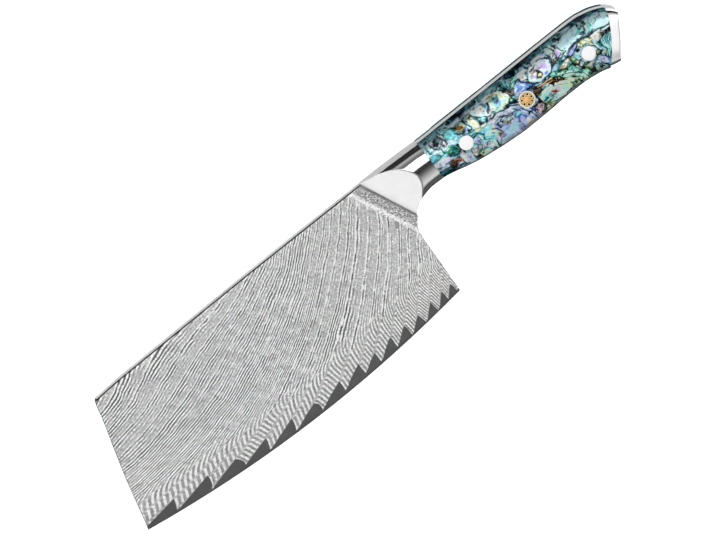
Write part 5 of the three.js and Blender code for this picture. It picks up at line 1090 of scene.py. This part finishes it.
cladding("blade_cladding_left", 1, "cladding_left")
cladding("blade_cladding_right", -1, "cladding_right")
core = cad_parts["core_steel"]
core.data.materials.clear()
core.data.materials.append(CORE)

# ------------------------------------------------------------------ bolster
SHOULDER = 4.6


def weld_x(y):
    return WELD_TOP[0] + (WELD_TOP[1] - np.asarray(y, float)) * (WX / -WY)


def const_x(v):
    return lambda y: np.full_like(np.asarray(y, float), v)


u = np.linspace(0, 1, 130) ** 1.15
X, Y, Z = handle_grid(weld_x, const_x(SCALE_FRONT_X - GAP), u, 110)
Q = weld_q(X, Y)
facet = PAD_HALF + PAD_SLOPE * Q - 0.64 * np.clip(1 - Q / SHOULDER, 0, 1) ** 2
facet = facet - round_drop(np.minimum(TOP_F(X) - Y, Y - LOW_F(X)), 0.30)
ZT = softmin(Z, facet, 0.16)
# painted shade: faces along the crease between the pad's facet and the side take the darker satin steel
crease_shade = np.abs(Z - facet) < 0.10
crease_shade = (crease_shade[:-1, :-1] | crease_shade[1:, 1:]).astype(int).ravel()
mats = top_wall(X.shape)
mats[:2 * len(crease_shade)] = np.concatenate([crease_shade, crease_shade])
add_piece("bolster_body", *slab(X, Y, ZT, -ZT), [BOLSTER_STEEL, TOP_SATIN_AND_CREASE_SHADE], ["bolster"], "satin_steel", sharp=35.0, face_mat=mats)

# ------------------------------------------------------------------ grip
joint_f = pchip([p[1] for p in reversed(CAP_JOINT)], [p[0] for p in reversed(CAP_JOINT)])
end_f = pchip([p[1] for p in reversed(CAP_END)], [p[0] for p in reversed(CAP_END)])
pin_cutters = [lathe([(0, -12), (r + 0.05, -12), (r + 0.05, 12), (0, 12)], 96, at)
               for r, at in ((RIVET_R, RIVETS["rivet_front"]), (RIVET_R, RIVETS["rivet_rear"]), (SLEEVE_R, MOSAIC_AT))]


def joint_x(shift):
    return lambda y: joint_f(y) + shift


u = np.linspace(0, 1, 470)
X, Y, Z = handle_grid(const_x(SCALE_FRONT_X + GAP), joint_x(-GAP), u, 140, 0.65)
verts, faces = scale_solid(X, Y, Z, TANG_HALF + BOND + 2 * GAP)
left = add_piece("scale_left_shell", verts, faces, [SHELL_LEFT], ["scale_left"], "abalone_resin")
cut_away(left, pin_cutters)
paint_scale(left, SHELL_EDGE)
right = add_piece("scale_right_shell", verts * (1, 1, -1), [f[::-1] for f in faces], [SHELL_RIGHT], ["scale_right"], "abalone_resin")
cut_away(right, pin_cutters)
paint_scale(right, SHELL_EDGE, flip=True)

u = np.linspace(0, 1, 150)
X, Y, Z = handle_grid(const_x(SCALE_FRONT_X + GAP), joint_x(-GAP), u, 24)
tang = add_piece("tang_plate", *slab(X, Y, np.full_like(X, TANG_HALF), np.full_like(X, -TANG_HALF)), [TANG_STEEL], ["tang"], "satin_steel")
cut_away(tang, pin_cutters)
for name, s, node in (("bond_line_left", 1, "bond_film_left"), ("bond_line_right", -1, "bond_film_right")):
    a, b = TANG_HALF + GAP, TANG_HALF + GAP + BOND
    film = add_piece(name, *slab(X, Y, np.full_like(X, b if s > 0 else -a), np.full_like(X, a if s > 0 else -b)), [EPOXY], [node], "epoxy")
    cut_away(film, pin_cutters)

# ------------------------------------------------------------------ butt cap
t = np.linspace(0, 1, 60)
u = 1 - (1 - t) ** 1.8
X, Y, Z = handle_grid(joint_f, end_f, u, 84)
slope = (end_f(Y + 0.05) - end_f(Y - 0.05)) / 0.1
E = (end_f(Y) - X) / np.sqrt(1 + slope ** 2)
ZT = softmin(Z, HALF_F(X) - round_drop(np.maximum(E, 0), 1.1), 0.10)
fall = np.degrees(np.arctan2(ZT[:-1, 1:] - ZT[:-1, :-1], Y[:-1, :-1] - Y[:-1, 1:]))
edge = np.where((fall > 28.0) | (fall < -24.0), 2, 0).ravel()
mats = top_wall(X.shape)
mats[:2 * len(edge)] = np.concatenate([edge, edge])
add_piece("butt_cap_body", *slab(X, Y, ZT, -ZT), [CAP_STEEL, TOP_SATIN_AND_CREASE_SHADE, BOLSTER_STEEL], ["butt_cap"], "polished_steel", sharp=35.0, face_mat=mats)

# ------------------------------------------------------------------ rivets and mosaic pin
def rod_profile(r, half, bevel=0.14, crown=0.02):
    flat = r - bevel - 0.06      # ring that keeps the shading of the face level up to the bevel
    return [(0, -half - crown), (r * 0.6, -half - crown * 0.6), (flat, -half - crown * 0.05), (r - bevel, -half), (r - bevel * 0.3, -half + bevel * 0.3), (r, -half + bevel),
            (r, half - bevel), (r - bevel * 0.3, half - bevel * 0.3), (r - bevel, half), (flat, half + crown * 0.05), (r * 0.6, half + crown * 0.6), (0, half + crown)]


def pipe_profile(outer, bore, half, bevel=0.07):
    return [(bore, -half + bevel), (bore + bevel, -half), (outer - bevel, -half), (outer, -half + bevel),
            (outer, half - bevel), (outer - bevel, half), (bore + bevel, half), (bore, half - bevel)]


for name, at in RIVETS.items():
    add_piece(name + "_pin", *lathe(rod_profile(RIVET_R, PIN_HALF, 0.06, 0.006), 96, at), [RIVET_STEEL], [name], "polished_steel")
add_piece("mosaic_sleeve_ring", *lathe(pipe_profile(SLEEVE_R, SLEEVE_BORE, PIN_HALF + 0.01), 96, MOSAIC_AT), [PALE_BRASS], ["mosaic_sleeve"], "pin_brass")
add_piece("mosaic_rod", *lathe(rod_profile(CORE_ROD_R, PIN_HALF, 0.08), 48, MOSAIC_AT), [COPPER], ["mosaic_core_rod"], "pin_copper")
tube_cutters = [lathe([(0, -12), (CORE_ROD_R + 0.02, -12), (CORE_ROD_R + 0.02, 12), (0, 12)], 48, MOSAIC_AT)]
for i in range(TUBES):
    a = TUBE_START + 2 * math.pi * i / TUBES
    at = (MOSAIC_AT[0] + TUBE_PITCH_R * math.cos(a), MOSAIC_AT[1] + TUBE_PITCH_R * math.sin(a))
    add_piece(f"mosaic_pipe_{i + 1}", *lathe(pipe_profile(TUBE_R, TUBE_BORE, PIN_HALF + 0.01, 0.05), 40, at), [BRASS], [f"mosaic_tube_{i + 1}"], "pin_brass")
    add_piece(f"mosaic_plug_{i + 1}", *lathe(rod_profile(TUBE_BORE - 0.02, PIN_HALF - 0.03, 0.05, 0.0), 32, at), [BLACK_RESIN], [f"resin_plug_{i + 1}"], "black_resin")
    tube_cutters.append(lathe([(0, -12), (TUBE_R + 0.02, -12), (TUBE_R + 0.02, 12), (0, 12)], 40, at))
fill = add_piece("mosaic_fill", *lathe(rod_profile(SLEEVE_BORE - 0.02, PIN_HALF - 0.03, 0.06, 0.0), 96, MOSAIC_AT), [GOLD_FILL], ["mosaic_filler"], "pin_brass")
cut_away(fill, tube_cutters)

# ------------------------------------------------------------------ stage, light and camera
me = bpy.data.meshes.new("floor")
me.from_pydata([(-3, -3, 0), (3, -3, 0), (3, 3, 0), (-3, 3, 0)], [], [(0, 1, 2, 3)])
fm = Mat("floor_white")
fp = fm.add("ShaderNodeTexCoord").outputs["Object"]
fn = fm.noise(fp, 9.0, 3, 0.5)
floor_mat = fm.finish(fm.mix(fn, srgb(250, 250, 250), srgb(252, 252, 252)), 0.7, 0.0, None, spec=0.1)
floor_bsdf = next(n for n in fm.t.nodes if n.type == "BSDF_PRINCIPLED")
floor_bsdf.inputs["Emission Color"].default_value = (1.0, 1.0, 1.0, 1.0)
floor_bsdf.inputs["Emission Strength"].default_value = 0.75
me.materials.append(floor_mat)
floor = bpy.data.objects.new("floor", me)
bpy.context.scene.collection.objects.link(floor)

world = bpy.data.worlds.new("studio")
bpy.context.scene.world = world
world.use_nodes = True
wt = world.node_tree
wt.nodes.clear()
tc = wt.nodes.new("ShaderNodeTexCoord")
sx = wt.nodes.new("ShaderNodeSeparateXYZ")
wt.links.new(tc.outputs["Generated"], sx.inputs[0])
at2 = wt.nodes.new("ShaderNodeMath")
at2.operation = "ARCTAN2"
wt.links.new(sx.outputs["Y"], at2.inputs[0])
wt.links.new(sx.outputs["Z"], at2.inputs[1])
mr = wt.nodes.new("ShaderNodeMapRange")
mr.inputs[1].default_value, mr.inputs[2].default_value = -math.pi, math.pi
wt.links.new(at2.outputs[0], mr.inputs[0])
cr = wt.nodes.new("ShaderNodeValToRGB")
wt.links.new(mr.outputs[0], cr.inputs[0])


def sky(stops):
    r = cr.color_ramp
    while len(r.elements) > 1:
        r.elements.remove(r.elements[-1])
    first = True
    for deg, v in stops:
        pos = (deg + 180.0) / 360.0
        if first:
            r.elements[0].position, r.elements[0].color = pos, (v, v, v, 1)
            first = False
        else:
            r.elements.new(pos).color = (v, v, v, 1)


# angle from straight up, towards the spine side (+) or the edge side (-)
sky([(-180, 0.9), (-96, 0.9), (-88, 0.10), (-66, 0.10), (-62, 0.55), (-57, 0.82), (-51, 0.68), (-45, 0.50), (-40, 0.32), (-35, 0.16), (-30, 0.085), (-20, 0.045), (-12.2, 0.03),
     (-11.4, 2.9), (4.6, 2.9), (5.6, 0.22), (13, 0.17), (19, 0.34), (26, 0.50), (31, 0.44), (36, 0.16), (41, 0.04), (90, 0.03), (120, 0.5), (180, 0.9)])
patch = wt.nodes.new("ShaderNodeVectorMath")
patch.operation = "DOT_PRODUCT"
wt.links.new(tc.outputs["Generated"], patch.inputs[0])
patch.inputs[1].default_value = (-0.549, -0.531, 0.646)
pm = wt.nodes.new("ShaderNodeMapRange")
pm.interpolation_type = "SMOOTHSTEP"
pm.inputs[1].default_value, pm.inputs[2].default_value = math.cos(math.radians(28)), math.cos(math.radians(8))
wt.links.new(patch.outputs["Value"], pm.inputs[0])
pa = wt.nodes.new("ShaderNodeMix")
pa.data_type = "RGBA"
wt.links.new(pm.outputs[0], pa.inputs[0])
wt.links.new(cr.outputs[0], pa.inputs[6])
pa.inputs[7].default_value = (1.05, 1.05, 1.05, 1.0)
bg = wt.nodes.new("ShaderNodeBackground")
bg.inputs[1].default_value = 1.0
wt.links.new(pa.outputs[2], bg.inputs[0])
wo = wt.nodes.new("ShaderNodeOutputWorld")
wt.links.new(bg.outputs[0], wo.inputs[0])


TH = math.radians(16.44)
ROLL = math.radians(38.4)
view_d = Vector((0, math.sin(TH), math.cos(TH)))
ax_u = Vector((0, math.cos(TH), -math.sin(TH)))
right_v = Vector((1, 0, 0)) * math.cos(ROLL) - ax_u * math.sin(ROLL)
up_v = Vector((1, 0, 0)) * math.sin(ROLL) + ax_u * math.cos(ROLL)
target = Vector((-0.02236, -0.02936, 0.0))
DIST = 2.7110
cam_data = bpy.data.cameras.new("camera")
cam_data.lens, cam_data.sensor_width, cam_data.sensor_fit = 300.0, 36.0, "HORIZONTAL"
cam_data.clip_start, cam_data.clip_end = 0.01, 20.0
cam = bpy.data.objects.new("camera", cam_data)
bpy.context.scene.collection.objects.link(cam)
pose = Matrix.Identity(4)
pose.col[0][:3], pose.col[1][:3], pose.col[2][:3] = right_v, up_v, view_d
pose.col[3][:3] = target + view_d * DIST
cam.matrix_world = REST @ pose
bpy.context.scene.camera = cam
bpy.context.scene.view_settings.view_transform = "Standard"
